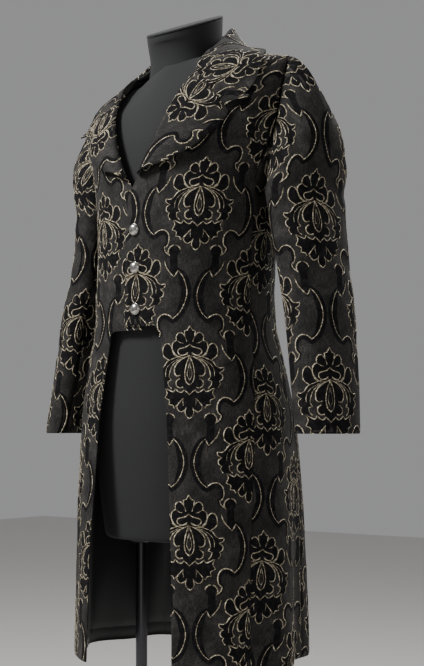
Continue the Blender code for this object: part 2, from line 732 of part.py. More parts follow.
def form_point(theta, level):
    """The dress form's skin: its own rings below, and the coat's shape under the shoulders that carry it."""
    sizes = [smooth(FORM, "level", name, level) for name in ("half", "front", "back")]
    x, y = ring(theta, *sizes)
    own = np.stack(np.broadcast_arrays(x, y, level + 0 * x), axis=-1)
    slack = 0.0005 + 0.0040 * ease((SHOULDER_TOP - level) / 0.012) + 0.006 * ease((1.45 - level) / 0.06)
    coat = body(theta, level)
    slack = slack + 0.007 * ease((0.100 - np.abs(coat[..., 0])) / 0.014) * ease((level - 1.40) / 0.04)
    carried = in_by(coat, body_normal(theta, level), CLOTH + slack)
    share = ease((level - 1.30) / 0.10)[..., None]
    return own + (carried - own) * share


def dress_form(finish):
    """A headless, armless torso with a flat underside, its neck joined on with a Boolean."""
    levels = np.array(FORM_LEVELS)
    count = 32
    angles = (np.arange(count) * 360 / count + 180) % 360 - 180
    theta, level = np.meshgrid(angles, levels)
    points = form_point(theta, level)
    points[-1, :, 1] = 0
    points = droop(points).reshape(-1, 3)
    faces = []
    for r in range(len(levels) - 1):
        for c in range(count):
            d = (c + 1) % count
            faces.append((r * count + c, r * count + d, (r + 1) * count + d, (r + 1) * count + c))
    faces.append(tuple(reversed(range(count))))
    made = add_object("dress_form", mesh_of("dress_form", points, faces), finish)
    joined = made.modifiers.new("neck", "BOOLEAN")
    joined.operation = "UNION"
    joined.solver = "EXACT"
    joined.object = neck_piece()
    return made


def neck_slope(y):
    """The neck's top is cut sloping down to the front."""
    return NECK_TOP + NECK_SLOPE * y


def neck_piece():
    """The neck, from inside the shoulders to its sloping top. It is only the Boolean's second shape."""
    angles = np.linspace(0, math.tau, 25)[:-1]
    rows = []
    for height, half_x, half_y, middle in zip(*NECK.values()):
        x, y = half_x * np.sin(angles), middle - half_y * np.cos(angles)
        z = np.full(len(angles), height)
        if height == NECK["height"][-1]:
            z = neck_slope(y)
        rows.append(np.stack([x, y, z], axis=1))
    count = len(angles)
    faces = []
    for r in range(len(rows) - 1):
        for c in range(count):
            d = (c + 1) % count
            faces.append((r * count + c, r * count + d, (r + 1) * count + d, (r + 1) * count + c))
    faces.append(tuple(reversed(range(count))))
    faces.append(tuple(range((len(rows) - 1) * count, len(rows) * count)))
    neck = bpy.data.objects.new("neck_shape", mesh_of("neck_shape", np.concatenate(rows), faces))
    bpy.context.scene.collection.objects.link(neck)
    neck.hide_render = True
    neck.display_type = "WIRE"
    return neck


def stand(metal, neck_finish):
    """The pole, its two flanges, the round base, and the lid on the neck."""
    x, y = POLE_AT
    at_pole = Matrix.Translation((x, y, 0))
    low, high = BASE_THICK + REST_GAP, FORM_BOTTOM - REST_GAP
    flange = 0.012
    base = [(0, 0), (BASE_RADIUS, 0), (BASE_RADIUS, 0.005), (BASE_RADIUS - 0.003, BASE_THICK), (0, BASE_THICK)]
    turned("base_plate", base, metal, 48, None, 25.0)
    foot = [(0, low), (0.032, low), (0.032, low + 0.006), (0.018, low + flange), (0, low + flange)]
    turned("pole_foot", foot, metal, 24, at_pole, 25.0)
    head = [(0, high - flange), (0.018, high - flange), (0.032, high - 0.004), (0.032, high), (0, high)]
    turned("pole_head", head, metal, 24, at_pole, 25.0)
    bottom, top = low + flange + REST_GAP, high - flange - REST_GAP
    turned("pole", [(0, bottom), (POLE_RADIUS, bottom), (POLE_RADIUS, top), (0, top)], metal, 16, at_pole)
    slope = math.atan(NECK_SLOPE)
    lid = Matrix.Translation((0, 0, neck_slope(0) + 2 * REST_GAP)) @ Matrix.Rotation(slope, 4, "X")
    rim = 0.0685
    profile = [(0, 0), (rim, 0), (rim + 0.001, 0.002), (rim - 0.001, 0.004), (0, 0.0045)]
    made = turned("neck_lid", profile, neck_finish, 24, lid @ Matrix.Diagonal((0.978, 1.105, 1, 1)), 25.0)
    return made


def main():
    for item in list(bpy.data.objects):
        bpy.data.objects.remove(item)
    brocade = material("charcoal_brocade", (0.030, 0.028, 0.027), 0.62)
    black_cloth = material("black_lining", (0.006, 0.006, 0.007), 0.45)
    jersey = material("form_cover", (0.020, 0.021, 0.023), 0.75)
    metal = material("pole_steel", (0.30, 0.30, 0.31), 0.35, 1.0)
    button_metal = material("button_metal", (0.62, 0.60, 0.58), 0.25, 1.0)
    for mirrored in (False, True):
        front(mirrored, brocade)
        side_body(mirrored, brocade)
        back(mirrored, brocade)
        tail_lining(mirrored, black_cloth)
        sleeve(mirrored, brocade)
        lapel(mirrored, brocade)
    collar_leaf(brocade)
    collar_stand(black_cloth)
    for number, level in enumerate(BUTTON_LEVELS, 1):
        button(number, level, button_metal)
    dress_form(jersey)
    stand(metal, jersey)


main()
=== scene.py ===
# %% [markdown]
# # A long brocade tailcoat, worn by a dress form
#
# The real coat is cut from a heavy furnishing-weight brocade: a charcoal ground, raised black figures, and
# a gold thread couched round every figure. It hangs on a limbless dress form on a pole. This lesson dresses
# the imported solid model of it. The solids say where each piece is, and this file gives each piece its fine
# form and its finish.

import math

import bpy
import numpy as np
from mathutils import Matrix, Vector
from mathutils.geometry import delaunay_2d_cdt


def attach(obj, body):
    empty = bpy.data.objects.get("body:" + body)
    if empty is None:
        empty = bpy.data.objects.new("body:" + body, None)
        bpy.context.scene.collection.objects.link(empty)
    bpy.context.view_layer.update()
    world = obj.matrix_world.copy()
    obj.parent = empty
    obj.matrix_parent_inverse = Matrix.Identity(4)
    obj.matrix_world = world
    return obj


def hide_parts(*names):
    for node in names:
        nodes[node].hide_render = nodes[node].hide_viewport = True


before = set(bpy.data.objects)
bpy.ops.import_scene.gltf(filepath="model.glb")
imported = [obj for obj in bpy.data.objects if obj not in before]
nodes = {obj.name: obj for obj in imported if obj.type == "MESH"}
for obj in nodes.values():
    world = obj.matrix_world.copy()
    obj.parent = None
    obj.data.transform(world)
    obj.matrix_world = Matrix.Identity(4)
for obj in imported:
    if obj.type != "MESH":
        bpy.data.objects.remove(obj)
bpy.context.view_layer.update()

# %% [markdown]
# ## The camera
#
# The picture was taken from the wearer's left, a little below chest height, with the camera level. A level
# camera keeps uprights upright, so the view is raised with the lens shift and not by tilting. The three pixel
# values place the neck's axis, the horizon and the scale in a 424 by 666 picture.

# %% Place the camera
IMAGE_WIDTH, IMAGE_HEIGHT = 424, 666
AXIS_PX, HORIZON_PX, FOCAL_PX = 185, 430, 1232
CAMERA_TURN = math.radians(37)
CAMERA_AWAY, CAMERA_HEIGHT = 2.2, 0.836
SENSOR = 36.0

lens = bpy.data.cameras.new("camera")
lens.sensor_fit = "VERTICAL"
lens.sensor_height = SENSOR
lens.lens = FOCAL_PX / IMAGE_HEIGHT * SENSOR
lens.shift_x = (IMAGE_WIDTH / 2 - AXIS_PX) / IMAGE_HEIGHT
lens.shift_y = (HORIZON_PX - IMAGE_HEIGHT / 2) / IMAGE_HEIGHT
camera = bpy.data.objects.new("camera", lens)
bpy.context.scene.collection.objects.link(camera)
camera.location = (CAMERA_AWAY * math.sin(CAMERA_TURN), -CAMERA_AWAY * math.cos(CAMERA_TURN), CAMERA_HEIGHT)
camera.rotation_euler = (math.radians(90), 0, CAMERA_TURN)
bpy.context.scene.camera = camera
print("camera", [round(v, 3) for v in camera.location], "lens", round(lens.lens, 1), "mm")

# %% [markdown]
# ## The worn coat as one smooth surface
#
# A worn coat is a tube of cloth round a body, cut into panels at its seams. It could be modelled panel by
# panel, but then neighbouring edges drift apart. Here one function gives the whole surface: the angle round
# the wearer and the height of the ring give a point. The tables below are the same ones that the solid model
# was made from, so every fine panel lies on its solid.

# %% The coat's driving sizes, in metres
CLOTH = 0.0025
LINING = 0.001
SEAM_GAP = 0.0004
REST_GAP = 0.0003
SHOULDER_DROP = 0.030
SHOULDER_NEARER = 0.018
CAP_FULL = 0.016
BUTTON_X = 0.006
HEM = 0.435
RIGHT_LOWER = 0.006
CUT_LEVEL = 1.00
CUT = 1.011
CLOSE_TOP = 1.252
SHOULDER_TOP = 1.485
UNDERARM = 1.290
SLOPE_AT = 0.145
ROUNDNESS = 2 / 2.2
OVERLAP = 0.010
BACK_SEAM = 118.0
VENT_TOP = 0.93
VENT_OPEN = 0.007
BUTTON_LEVELS = (1.040, 1.110, 1.174)


def table(names, *rows):
    """A table with named columns."""
    return {name: np.array(column, float) for name, column in zip(names.split(), zip(*rows))}


RINGS = table(
    "level half front back tilt",
    (0.435, 0.205, 0.178, 0.200, 0.0),
    (0.600, 0.202, 0.172, 0.198, 0.0),
    (0.750, 0.198, 0.164, 0.195, 0.0),
    (0.870, 0.190, 0.157, 0.183, 0.0),
    (0.950, 0.176, 0.151, 0.166, 0.0),
    (1.030, 0.160, 0.147, 0.148, 0.0),
    (1.100, 0.161, 0.148, 0.143, 0.0),
    (1.180, 0.168, 0.150, 0.143, 0.0),
    (1.270, 0.1795, 0.149, 0.139, 0.0),
    (1.340, 0.206, 0.139, 0.134, 0.04),
    (1.400, 0.2125, 0.114, 0.119, 0.12),
    (1.430, 0.2135, 0.091, 0.100, 0.18),
    (1.455, 0.2155, 0.066, 0.073, 0.23),
    (1.473, 0.2165, 0.038, 0.043, 0.26),
    (1.485, 0.217, 0.0, 0.0, 0.286),
)
FRONT_LINE = table(
    "level x",
    (0.435, 0.094),
    (0.600, 0.090),
    (0.750, 0.081),
    (0.870, 0.072),
    (0.950, 0.061),
    (0.992, 0.054),
    (1.080, 0.052),
    (1.256, 0.054),
    (1.300, 0.064),
    (1.350, 0.083),
    (1.400, 0.106),
    (1.440, 0.124),
    (1.485, 0.126),
)
INNER_LINE = table(
    "level x",
    (0.435, -OVERLAP),
    (1.205, -OVERLAP),
    (1.230, -0.008),
    (1.247, 0.0015),
    (1.262, 0.012),
    (1.278, 0.022),
    (1.300, 0.034),
    (1.330, 0.048),
    (1.360, 0.0615),
    (1.385, 0.072),
    (1.410, 0.0815),
    (1.437, 0.090),
    (1.460, 0.091),
    (1.485, 0.086),
)
SIDE_LINE = table(
    "level theta",
    (0.435, 70.0),
    (0.750, 71.5),
    (0.870, 74.0),
    (0.950, 78.0),
    (1.030, 81.5),
    (1.120, 81.5),
    (1.200, 80.0),
    (1.290, 80.0),
)
BACK_NECK = table(
    "level x",
    (1.455, 0.0),
    (1.464, 0.045),
    (1.473, 0.066),
    (1.485, 0.086),
)
ARM_FRONT = table(
    "theta level",
    (98.0, 1.283),
    (88.0, 1.285),
    (80.0, UNDERARM),
    (80.5, 1.320),
    (81.5, 1.350),
    (82.0, 1.380),
    (83.0, 1.410),
    (84.5, 1.440),
    (86.5, 1.465),
    (90.0, SHOULDER_TOP),
)
ARM_BACK = table(
    "theta level",
    (98.0, 1.283),
    (108.0, 1.285),
    (BACK_SEAM, UNDERARM),
    (120.5, 1.325),
    (121.0, 1.360),
    (118.5, 1.395),
    (112.0, 1.430),
    (102.0, 1.462),
    (90.0, SHOULDER_TOP),
)
SKIRT_FOLDS = table(
    "theta width depth top",
    (44.0, 13.0, -0.004, 0.95),
    (72.0, 9.0, -0.011, 1.00),
    (90.0, 10.0, 0.012, 0.98),
    (110.0, 9.0, -0.010, 0.95),
    (130.0, 11.0, 0.014, 0.97),
    (149.0, 9.0, -0.012, 0.94),
    (166.0, 9.0, 0.010, 0.92),
)
LEVELS = (
    HEM, HEM + 0.0015, HEM + 0.004, HEM + 0.009, 0.50, 0.64, 0.78, 0.90, CUT_LEVEL, 1.04, 1.14, CLOSE_TOP,
    UNDERARM, 1.38, 1.435, 1.455, 1.464, 1.473, SHOULDER_TOP,
)
ROW_STEP = 0.0085
print("the coat reaches from", HEM, "to", SHOULDER_TOP, "m")

# %% Read a table on a smooth curve


def smooth(rows, key, column, at):
    """The value of one column at the places given, on a smooth curve through the table's rows."""
    xs, ys = rows[key], rows[column]
    if xs[0] > xs[-1]:
        xs, ys = xs[::-1], ys[::-1]
    slopes = np.gradient(ys, xs)
    at = np.clip(at, xs[0], xs[-1])
    i = np.clip(np.searchsorted(xs, at, side="right") - 1, 0, len(xs) - 2)
    span = xs[i + 1] - xs[i]
    t = (at - xs[i]) / span
    start = ys[i] + t * t * (3 - 2 * t) * (ys[i + 1] - ys[i])
    return start + span * t * (1 - t) * ((1 - t) * slopes[i] - t * slopes[i + 1])


def unit(vectors):
    return vectors / np.maximum(np.linalg.norm(vectors, axis=-1, keepdims=True), 1e-12)


def ease(t):
    """0 to 1, starting and ending gently."""
    t = np.clip(t, 0, 1)
    return t * t * (3 - 2 * t)


print("half width at the waist", round(float(smooth(RINGS, "level", "half", 1.03)), 3), "m")

# %% The body surface, and the way out of it


def ring(theta, half, front, back):
    """A point on a rounded ring: flatter than an ellipse at the front, back and sides."""
    s, c = np.sin(np.radians(theta)), np.cos(np.radians(theta))
    x = half * np.sign(s) * np.abs(s) ** ROUNDNESS
    y = -np.where(c > 0, front, back) * np.sign(c) * np.abs(c) ** ROUNDNESS
    return x, y


def skirt_fold(theta, level):
    """How far the skirt's hanging folds stand out of the plain ring."""
    out = np.zeros(np.broadcast(theta, level).shape)
    for place, width, depth, top in zip(*SKIRT_FOLDS.values()):
        grown = ease((top - level) / (top - HEM))
        out = out + depth * grown * np.exp(-(((np.abs(theta) - place) / width) ** 2))
    return out


def body(theta, level):
    """The outside of the worn coat."""
    sizes = [smooth(RINGS, "level", name, level) for name in ("half", "front", "back")]
    x, y = ring(theta, *sizes)
    z = level - smooth(RINGS, "level", "tilt", level) * (np.abs(x) - SLOPE_AT)
    fold = skirt_fold(theta, level)
    x = x + fold * np.sin(np.radians(theta))
    y = y - fold * np.cos(np.radians(theta))
    return np.stack(np.broadcast_arrays(x, y, z), axis=-1)


def body_normal(theta, level):
    """The way out of the coat, straight up at the shoulder seam."""
    step_t, step_l = 0.8, 0.003
    low = np.minimum(level, SHOULDER_TOP - 2 * step_l)
    round_it = body(theta + step_t, low) - body(theta - step_t, low)
    up_it = body(theta, low + step_l) - body(theta, low - step_l)
    normal = unit(np.cross(round_it, up_it))
    near_top = ease((level - SHOULDER_TOP + 0.030) / 0.030)
    normal[..., 1] *= 1 - near_top
    return unit(normal)


def droop(points):
    """The wearer's right shoulder hangs lower than the left."""
    low = ease((0.06 - points[..., 0]) / 0.20) * ease((points[..., 2] - 1.29) / 0.18)
    near = ease(-points[..., 0] / 0.18) * ease((points[..., 2] - 1.02) / 0.20)
    return points + np.stack([SHOULDER_NEARER * near, 0 * low, -SHOULDER_DROP * low], axis=-1)


def theta_of(x, level):
    """The angle, on the front, where the ring passes x."""
    share = np.clip(np.abs(x) / smooth(RINGS, "level", "half", level), 0, 1)
    return np.sign(x) * np.degrees(np.arcsin(share ** (1 / ROUNDNESS)))


def in_by(outer, normal, depth):
    return outer - normal * np.asarray(depth)[..., None]


print("front of the waist", np.round(body(0.0, 1.03), 3))

# %% [markdown]
# ## A sheet of cloth knows its flat shape
#
# Woven figures must stay the same size and stay upright on the cloth, however the cloth bends. So each piece
# is kept as a grid of points with two more numbers at every point: how far it is across and along the flat
# cloth. Lengths along the grid's rows and columns give them. Later, a figure drawn flat finds its place on
# the worn cloth through these numbers, as the loom's pattern does on the real one.

# %% Lay a grid out flat


def lengths(points, axis):
    """How far each point is along its row or column."""
    steps = np.linalg.norm(np.diff(points, axis=axis), axis=-1)
    start = np.zeros_like(np.take(steps, [0], axis=axis))
    return np.concatenate([start, np.cumsum(steps, axis=axis)], axis=axis)


def lay_flat(points, zero_column, zero_row):
    """Across and along the flat cloth, both zero where a grain line crosses a base row."""
    across, along = lengths(points, 1), lengths(points, 0)
    columns, rows = np.arange(points.shape[1]), np.arange(points.shape[0])
    zero_column = np.broadcast_to(zero_column, rows.shape)
    across = across - np.array([np.interp(z, columns, row) for z, row in zip(zero_column, across)])[:, None]
    along = along - np.array([np.interp(zero_row, rows, column) for column in along.T])[None, :]
    return across, along


def grid_normals(points):
    normal = unit(np.cross(np.gradient(points, axis=1), np.gradient(points, axis=0)))
    return normal


# %% [markdown]
# ## Creases and edges
#
# Cloth this heavy makes few creases: soft troughs where an arm bends or a button pulls. Each is given
# as a row of numbers in the flat cloth's own measure. A sewn edge turns under, so the last 3 mm beside
# every edge dip, and the seams show as fine grooves.

# %% Press creases and turned edges into a sheet
EDGE_DIP = 0.0011
EDGE_WIDTH = 0.0026


def creased(across, along, creases):
    """How far the creases push the cloth out or in. Each row: place, turn in degrees, length, width, depth."""
    push = np.zeros_like(across)
    for s, t, turn, length, width, depth in creases:
        c, k = math.cos(math.radians(turn)), math.sin(math.radians(turn))
        on_it = (across - s) * c + (along - t) * k
        off_it = -(across - s) * k + (along - t) * c + 0.10 * length * np.sin(on_it / length * 5)
        push += depth * np.exp(-((off_it / width) ** 2)) * ease(1.25 - np.abs(on_it) / (length / 2))
    return push


def edge_distance(across, along, keep):
    """How far each point is from the nearest edge of its piece."""
    used = np.zeros(across.shape, bool)
    for dr in (0, 1):
        for dc in (0, 1):
            used[dr : dr + keep.shape[0], dc : dc + keep.shape[1]] |= keep
    far = np.full(across.shape, 1.0)
    low_s = np.where(used, across, np.inf).min(axis=1, keepdims=True)
    high_s = np.where(used, across, -np.inf).max(axis=1, keepdims=True)
    low_t = np.where(used, along, np.inf).min(axis=0, keepdims=True)
    high_t = np.where(used, along, -np.inf).max(axis=0, keepdims=True)
    for gap in (across - low_s, high_s - across, along - low_t, high_t - along):
        far = np.minimum(far, gap)
    return np.maximum(far, 0)


def make_sheet(name, points, inside, zero_column=0, zero_row=0, keep=None, creases=(), dip=EDGE_DIP):
    """A piece of cloth as grids: its points, the way out, and its flat places. inside says where inwards is."""
    if keep is None:
        keep = np.ones((points.shape[0] - 1, points.shape[1] - 1), bool)
    across, along = lay_flat(points, zero_column, zero_row)
    normal = grid_normals(points)
    if np.sum(normal * (points - inside)) < 0:
        points, across, along, keep = points[:, ::-1], -across[:, ::-1], along[:, ::-1], keep[:, ::-1]
        normal = grid_normals(points)
    push = creased(across, along, creases) - dip * np.exp(-((edge_distance(across, along, keep) / EDGE_WIDTH) ** 2))
    points = points + normal * push[..., None]
    return {
        "name": name, "points": points, "normal": grid_normals(points),
        "across": across, "along": along, "keep": keep,
    }


# %% [markdown]
# ## The panels of the body
#
# Each panel takes the rings' angles between its two seams. Rows and columns crowd together beside the edges,
# where the turned edge needs them, and stay about 8 mm apart elsewhere.

# %% Rows and columns for a panel


def refine(levels, step):
    """The levels given, with more between them, none further apart than step."""
    parts = [np.linspace(a, b, math.ceil((b - a) / step - 1e-6), endpoint=False) for a, b in zip(levels, levels[1:])]
    return np.concatenate([*parts, [levels[-1]]])


def shares(count):
    """Places across a panel, 0 to 1, closer together beside its two edges."""
    start = np.array([0.0, 0.006, 0.014, 0.026])
    return np.concatenate([start, np.linspace(0.05, 0.95, count), 1 - start[::-1]])


def between(low, high, at):
    return low + (high - low) * at


def arm_theta(arm, level):
    """The angle where the armhole crosses a ring above the underarm."""
    part = {name: arm[name][2:] for name in arm}
    return smooth(part, "level", "theta", level)


BODY_LEVELS = refine(LEVELS, ROW_STEP)
SEAM_ANGLE = math.degrees(SEAM_GAP / 2 / 0.18)
CLOSED_SHARES = np.array([0.0, 0.02, 0.05, 0.10, 0.22, 0.38, 0.54, 0.70, 0.86])
print(len(BODY_LEVELS), "rows on the body")

# %% [markdown]
# The grain of the front leans outwards on the chest, because the cloth is shaped over it. The table says
# which angle the straight grain passes at each height.

# %% The fronts
GRAIN = table(
    "level theta",
    (0.435, 34.3),
    (0.966, 34.3),
    (1.070, 37.8),
    (1.252, 41.3),
    (1.485, 45.0),
)
BASE_LEVEL = 0.966


def front_theta(level):
    inner = theta_of(smooth(INNER_LINE, "level", "x", level), level)
    line = theta_of(smooth(FRONT_LINE, "level", "x", level), level)
    outer = smooth(SIDE_LINE, "level", "theta", level) - SEAM_ANGLE
    if level > UNDERARM:
        outer = arm_theta(ARM_FRONT, level)
    return np.concatenate([between(inner, line, CLOSED_SHARES), between(line, outer, shares(26))])


def front_sheet(mirrored, creases):
    """One front, with its closed part above the short level cut edge."""
    levels = BODY_LEVELS
    theta = np.array([front_theta(level) for level in levels])
    theta[-1, -1] = min(theta[-1, -1], 89.0)
    level = np.repeat(levels[:, None], theta.shape[1], axis=1)
    closed = len(CLOSED_SHARES)
    rise = CUT - CUT_LEVEL - (RIGHT_LOWER if mirrored else 0)
    near_cut = np.clip(1 - np.abs(levels - CUT_LEVEL) / 0.04, 0, 1) * (levels >= CUT_LEVEL - 1e-6)
    level[:, :closed] += rise * near_cut[:, None]
    points, normal = body(theta, level), body_normal(theta, level)
    if mirrored:
        near_middle = 1 - ease((points[..., 0] - 0.022) / 0.035)
        points = in_by(points, normal, (CLOTH + 2 * REST_GAP) * near_middle)
    points[-1, :, 1] -= SEAM_GAP / 2
    keep = np.ones((len(levels) - 1, theta.shape[1] - 1), bool)
    keep[levels[:-1] < CUT_LEVEL - 1e-6, :closed] = False
    grain = [np.interp(smooth(GRAIN, "level", "theta", z), row, np.arange(len(row))) for z, row in zip(levels, theta)]
    base_row = np.interp(BASE_LEVEL, levels, np.arange(len(levels)))
    if mirrored:
        points = points * (-1, 1, 1)
    points = droop(points)
    name = "front_right" if mirrored else "front_left"
    return make_sheet(name, points, points * (0, 0, 1), grain, base_row, keep, creases)


# %% The side panels, under the arms


def side_theta(level):
    return between(smooth(SIDE_LINE, "level", "theta", level) + SEAM_ANGLE, BACK_SEAM - SEAM_ANGLE, shares(14))


def side_sheet(mirrored, creases):
    """The narrow panel under the arm, up to the bottom of the armhole."""
    arm = {name: np.concatenate([ARM_FRONT[name][2:0:-1], ARM_BACK[name][:3]]) for name in ARM_FRONT}
    top = smooth(arm, "theta", "level", side_theta(UNDERARM))
    levels = BODY_LEVELS[BODY_LEVELS <= CLOSE_TOP + 1e-6]
    rows = [np.full(len(top), level) for level in levels]
    rows += [between(CLOSE_TOP, top, t) for t in (0.25, 0.5, 0.75, 0.9, 1.0)]
    level = np.array(rows)
    theta = np.array([side_theta(row[0]) for row in level])
    points = body(theta, level)
    base_row = np.interp(BASE_LEVEL, levels, np.arange(len(levels)))
    if mirrored:
        points = points * (-1, 1, 1)
    points = droop(points)
    name = "side_right" if mirrored else "side_left"
    return make_sheet(name, points, points * (0, 0, 1), theta.shape[1] / 2, base_row, None, creases)


# %% The backs, with the vent below the seat


def vent_spread(level):
    return math.degrees(VENT_OPEN * ease((VENT_TOP - level) / (VENT_TOP - HEM)) / 0.2)


def back_theta(level):
    outer = BACK_SEAM + SEAM_ANGLE if level <= UNDERARM else arm_theta(ARM_BACK, level)
    middle = 180.0 - math.degrees(SEAM_GAP / 2 / 0.12) - vent_spread(level)
    if level > BACK_NECK["level"][0]:
        neck = smooth(BACK_NECK, "level", "x", level)
        middle = min(middle, 180.0 - theta_of(neck, level))
    return between(outer, middle, shares(22))


def back_sheet(mirrored, creases):
    """Half the back, neck to hem."""
    levels = BODY_LEVELS
    theta = np.array([back_theta(level) for level in levels])
    theta[-1, 0] = max(theta[-1, 0], 91.0)
    level = np.repeat(levels[:, None], theta.shape[1], axis=1)
    points = body(theta, level)
    points[-1, :, 1] += SEAM_GAP / 2
    base_row = np.interp(BASE_LEVEL, levels, np.arange(len(levels)))
    if mirrored:
        points = points * (-1, 1, 1)
    points = droop(points)
    name = "back_right" if mirrored else "back_left"
    return make_sheet(name, points, points * (0, 0, 1), theta.shape[1] - 1, base_row, None, creases)


# %% [markdown]
# ## The sleeves
#
# A tailored sleeve is two pieces that make a bent tube, with a cap that eases into the armhole. The tube's
# rings are ellipses on a leaning line, and the cap's rings run from the last ellipse to the armhole's edge.

# %% The sleeves' rings
SLEEVE = table(
    "height x y minor major turn",
    (0.830, 0.289, 0.008, 0.038, 0.062, 20.0),
    (0.930, 0.275, 0.021, 0.042, 0.066, 19.0),
    (1.030, 0.261, 0.030, 0.045, 0.069, 17.0),
    (1.130, 0.2435, 0.034, 0.047, 0.073, 16.0),
    (1.235, 0.2300, 0.031, 0.047, 0.080, 15.0),
)
SLEEVE_COLUMNS = 96
UNDER_COLUMNS = 16
SLEEVE_HEIGHTS = refine((0.830, 0.8315, 0.834, 0.839, 0.930, 1.235), ROW_STEP)
CAP_STEPS = np.linspace(0, 1, 27)[1:]


def along_line(points, at):
    """Points at the shares given of a line's length."""
    steps = np.linalg.norm(np.diff(points, axis=0), axis=1)
    length = np.concatenate([[0], np.cumsum(steps)])
    return np.stack([np.interp(at * length[-1], length, points[:, k]) for k in range(3)], axis=1)


def arm_edge(arm, count):
    """Half the armhole, from the underarm to the shoulder tip."""
    rows = {"at": np.arange(len(arm["theta"]), dtype=float), **arm}
    fine = np.linspace(0, rows["at"][-1], 160)
    theta, level = smooth(rows, "at", "theta", fine), smooth(rows, "at", "level", fine)
    return along_line(body(theta, level), np.linspace(0, 1, count))


def sleeve_rings():
    """The sleeve's outside, cuff to armhole, from the inner line round by the front."""
    turn = np.radians(np.linspace(0, 360, SLEEVE_COLUMNS + 1))
    rows = []
    for height in SLEEVE_HEIGHTS:
        at = {name: smooth(SLEEVE, "height", name, height) for name in SLEEVE}
        angle = math.radians(at["turn"])
        lateral = np.array([math.cos(angle), -math.sin(angle), 0])
        back_way = np.array([math.sin(angle), math.cos(angle), 0])
        middle = np.array([at["x"], at["y"], height])
        out = -at["minor"] * np.cos(turn)[:, None] * lateral
        rows.append(middle + out - at["major"] * np.sin(turn)[:, None] * back_way)
    half = SLEEVE_COLUMNS // 2 + 1
    loop = np.concatenate([arm_edge(ARM_FRONT, half), arm_edge(ARM_BACK, half)[::-1][1:]])
    loop[:, 0] += 0.0018
    start = rows[-1]
    span = loop - start
    outward = ((1 - np.cos(turn)) / 2)[:, None]
    level_part, upright = span * (1, 1, 0), span * (0, 0, 1)
    leave = upright * (1.0 + 0.95 * outward)
    arrive = outward * (2.0 * level_part + 0.15 * upright) + (1 - outward) * upright
    for t in CAP_STEPS:
        point = start + t * t * (3 - 2 * t) * span
        point = point + t * (1 - t) * ((1 - t) * leave - t * arrive)
        point[:, 0] += CAP_FULL * outward[:, 0] * (4 * t) ** 2 * math.exp(2 - 8 * t) * (1 - t**4)
        rows.append(point)
    return np.array(rows)


SLEEVE_POINTS = sleeve_rings()
print("sleeve grid", SLEEVE_POINTS.shape[:2])

# %% The top and under sleeves


def sleeve_sheets(mirrored, creases):
    rings = SLEEVE_POINTS * ((-1, 1, 1) if mirrored else (1, 1, 1))
    rings = droop(rings)
    middle = rings[:, :-1].mean(axis=1, keepdims=True) + 0 * rings
    first, last = UNDER_COLUMNS, SLEEVE_COLUMNS - UNDER_COLUMNS
    side = "right" if mirrored else "left"
    columns = {
        "top_sleeve": list(range(last, first - 1, -1)),
        "under_sleeve": list(range(first, 0, -1)) + list(range(SLEEVE_COLUMNS, last - 1, -1)),
    }
    made = []
    for piece, order in columns.items():
        points = rings[:, order].copy()
        for column, towards in ((0, 1), (-1, -2)):
            points[:, column] += unit(points[:, towards] - points[:, column]) * 2 * SEAM_GAP
        half = len(order) / 2
        some = creases if piece == "top_sleeve" else creases[:2]
        made.append(make_sheet(f"{piece}_{side}", points, middle[:, order], half, 0, None, some))
    return made


# %% [markdown]
# ## The lapels and the collar
#
# The lapel is the front's facing turned back at the roll line. It starts with a rounded roll and lies on the
# chest out to its edge. The collar's leaf starts where the lapel ends, runs over the fold round the neck and
# comes down on the shoulders. Both are grids across the roll and along it, like their solids.

# %% The lapels' shape
LAPEL = table(
    "roll_level edge_x edge_level",
    (1.266, 0.023, 1.267),
    (1.276, 0.044, 1.274),
    (UNDERARM, 0.070, 1.281),
    (1.320, 0.106, 1.300),
    (1.350, 0.134, 1.322),
    (1.380, 0.151, 1.343),
    (1.403, 0.1575, 1.356),
    (1.419, 0.158, 1.364),
    (1.431, 0.152, 1.371),
)
LEAF_ACROSS = np.array([0.05, 0.12, 0.20, 0.29, 0.38, 0.47, 0.56, 0.65, 0.74, 0.83, 0.90, 0.95, 0.98, 1.0])
LAPEL_STEPS = 48


def lapel_grids():
    """A lapel's outside and inside: a rounded roll, then the leaf out to its edge."""
    rows = {"at": np.arange(len(LAPEL["edge_x"]), dtype=float), **LAPEL}
    fine = np.linspace(0, rows["at"][-1], LAPEL_STEPS)
    roll_level, edge_x, edge_level = (smooth(rows, "at", name, fine) for name in LAPEL)
    roll_x = smooth(INNER_LINE, "level", "x", roll_level)
    roll = np.stack([theta_of(roll_x, roll_level), roll_level], axis=1)
    edge = np.stack([theta_of(edge_x, edge_level), edge_level], axis=1)
    start, out = body(roll[:, 0], roll[:, 1]), body_normal(roll[:, 0], roll[:, 1])
    beyond = unit(np.cross(np.gradient(start, axis=0), out))
    beyond *= np.sign(np.sum(beyond * (start - body(edge[:, 0], edge[:, 1])), axis=1))[:, None]
    outer, inner = [], []
    for over, height, turn_in in ((0.0034, -0.0015, 0.0), (0.0034, 0.0017, 0.35), (0.0012, 0.0050, 0.8)):
        outer.append(start + beyond * over + out * height)
        inner.append(outer[-1] - unit(beyond * (1 - turn_in) + out * turn_in) * CLOTH)
    along = np.linspace(0, 1, len(roll))
    for share in LEAF_ACROSS:
        path = roll + (edge - roll) * share
        point, normal = body(path[:, 0], path[:, 1]), body_normal(path[:, 0], path[:, 1])
        low_edge = (1 - ease((along - 0.25) / 0.55)) * share
        lift = 0.0056 + 0.0035 * math.sin(math.pi * share) + 0.008 * low_edge - 0.0018 * share
        outer.append(point + normal * lift[:, None])
        inner.append(outer[-1] - normal * CLOTH)
    return np.array(outer), np.array(inner)


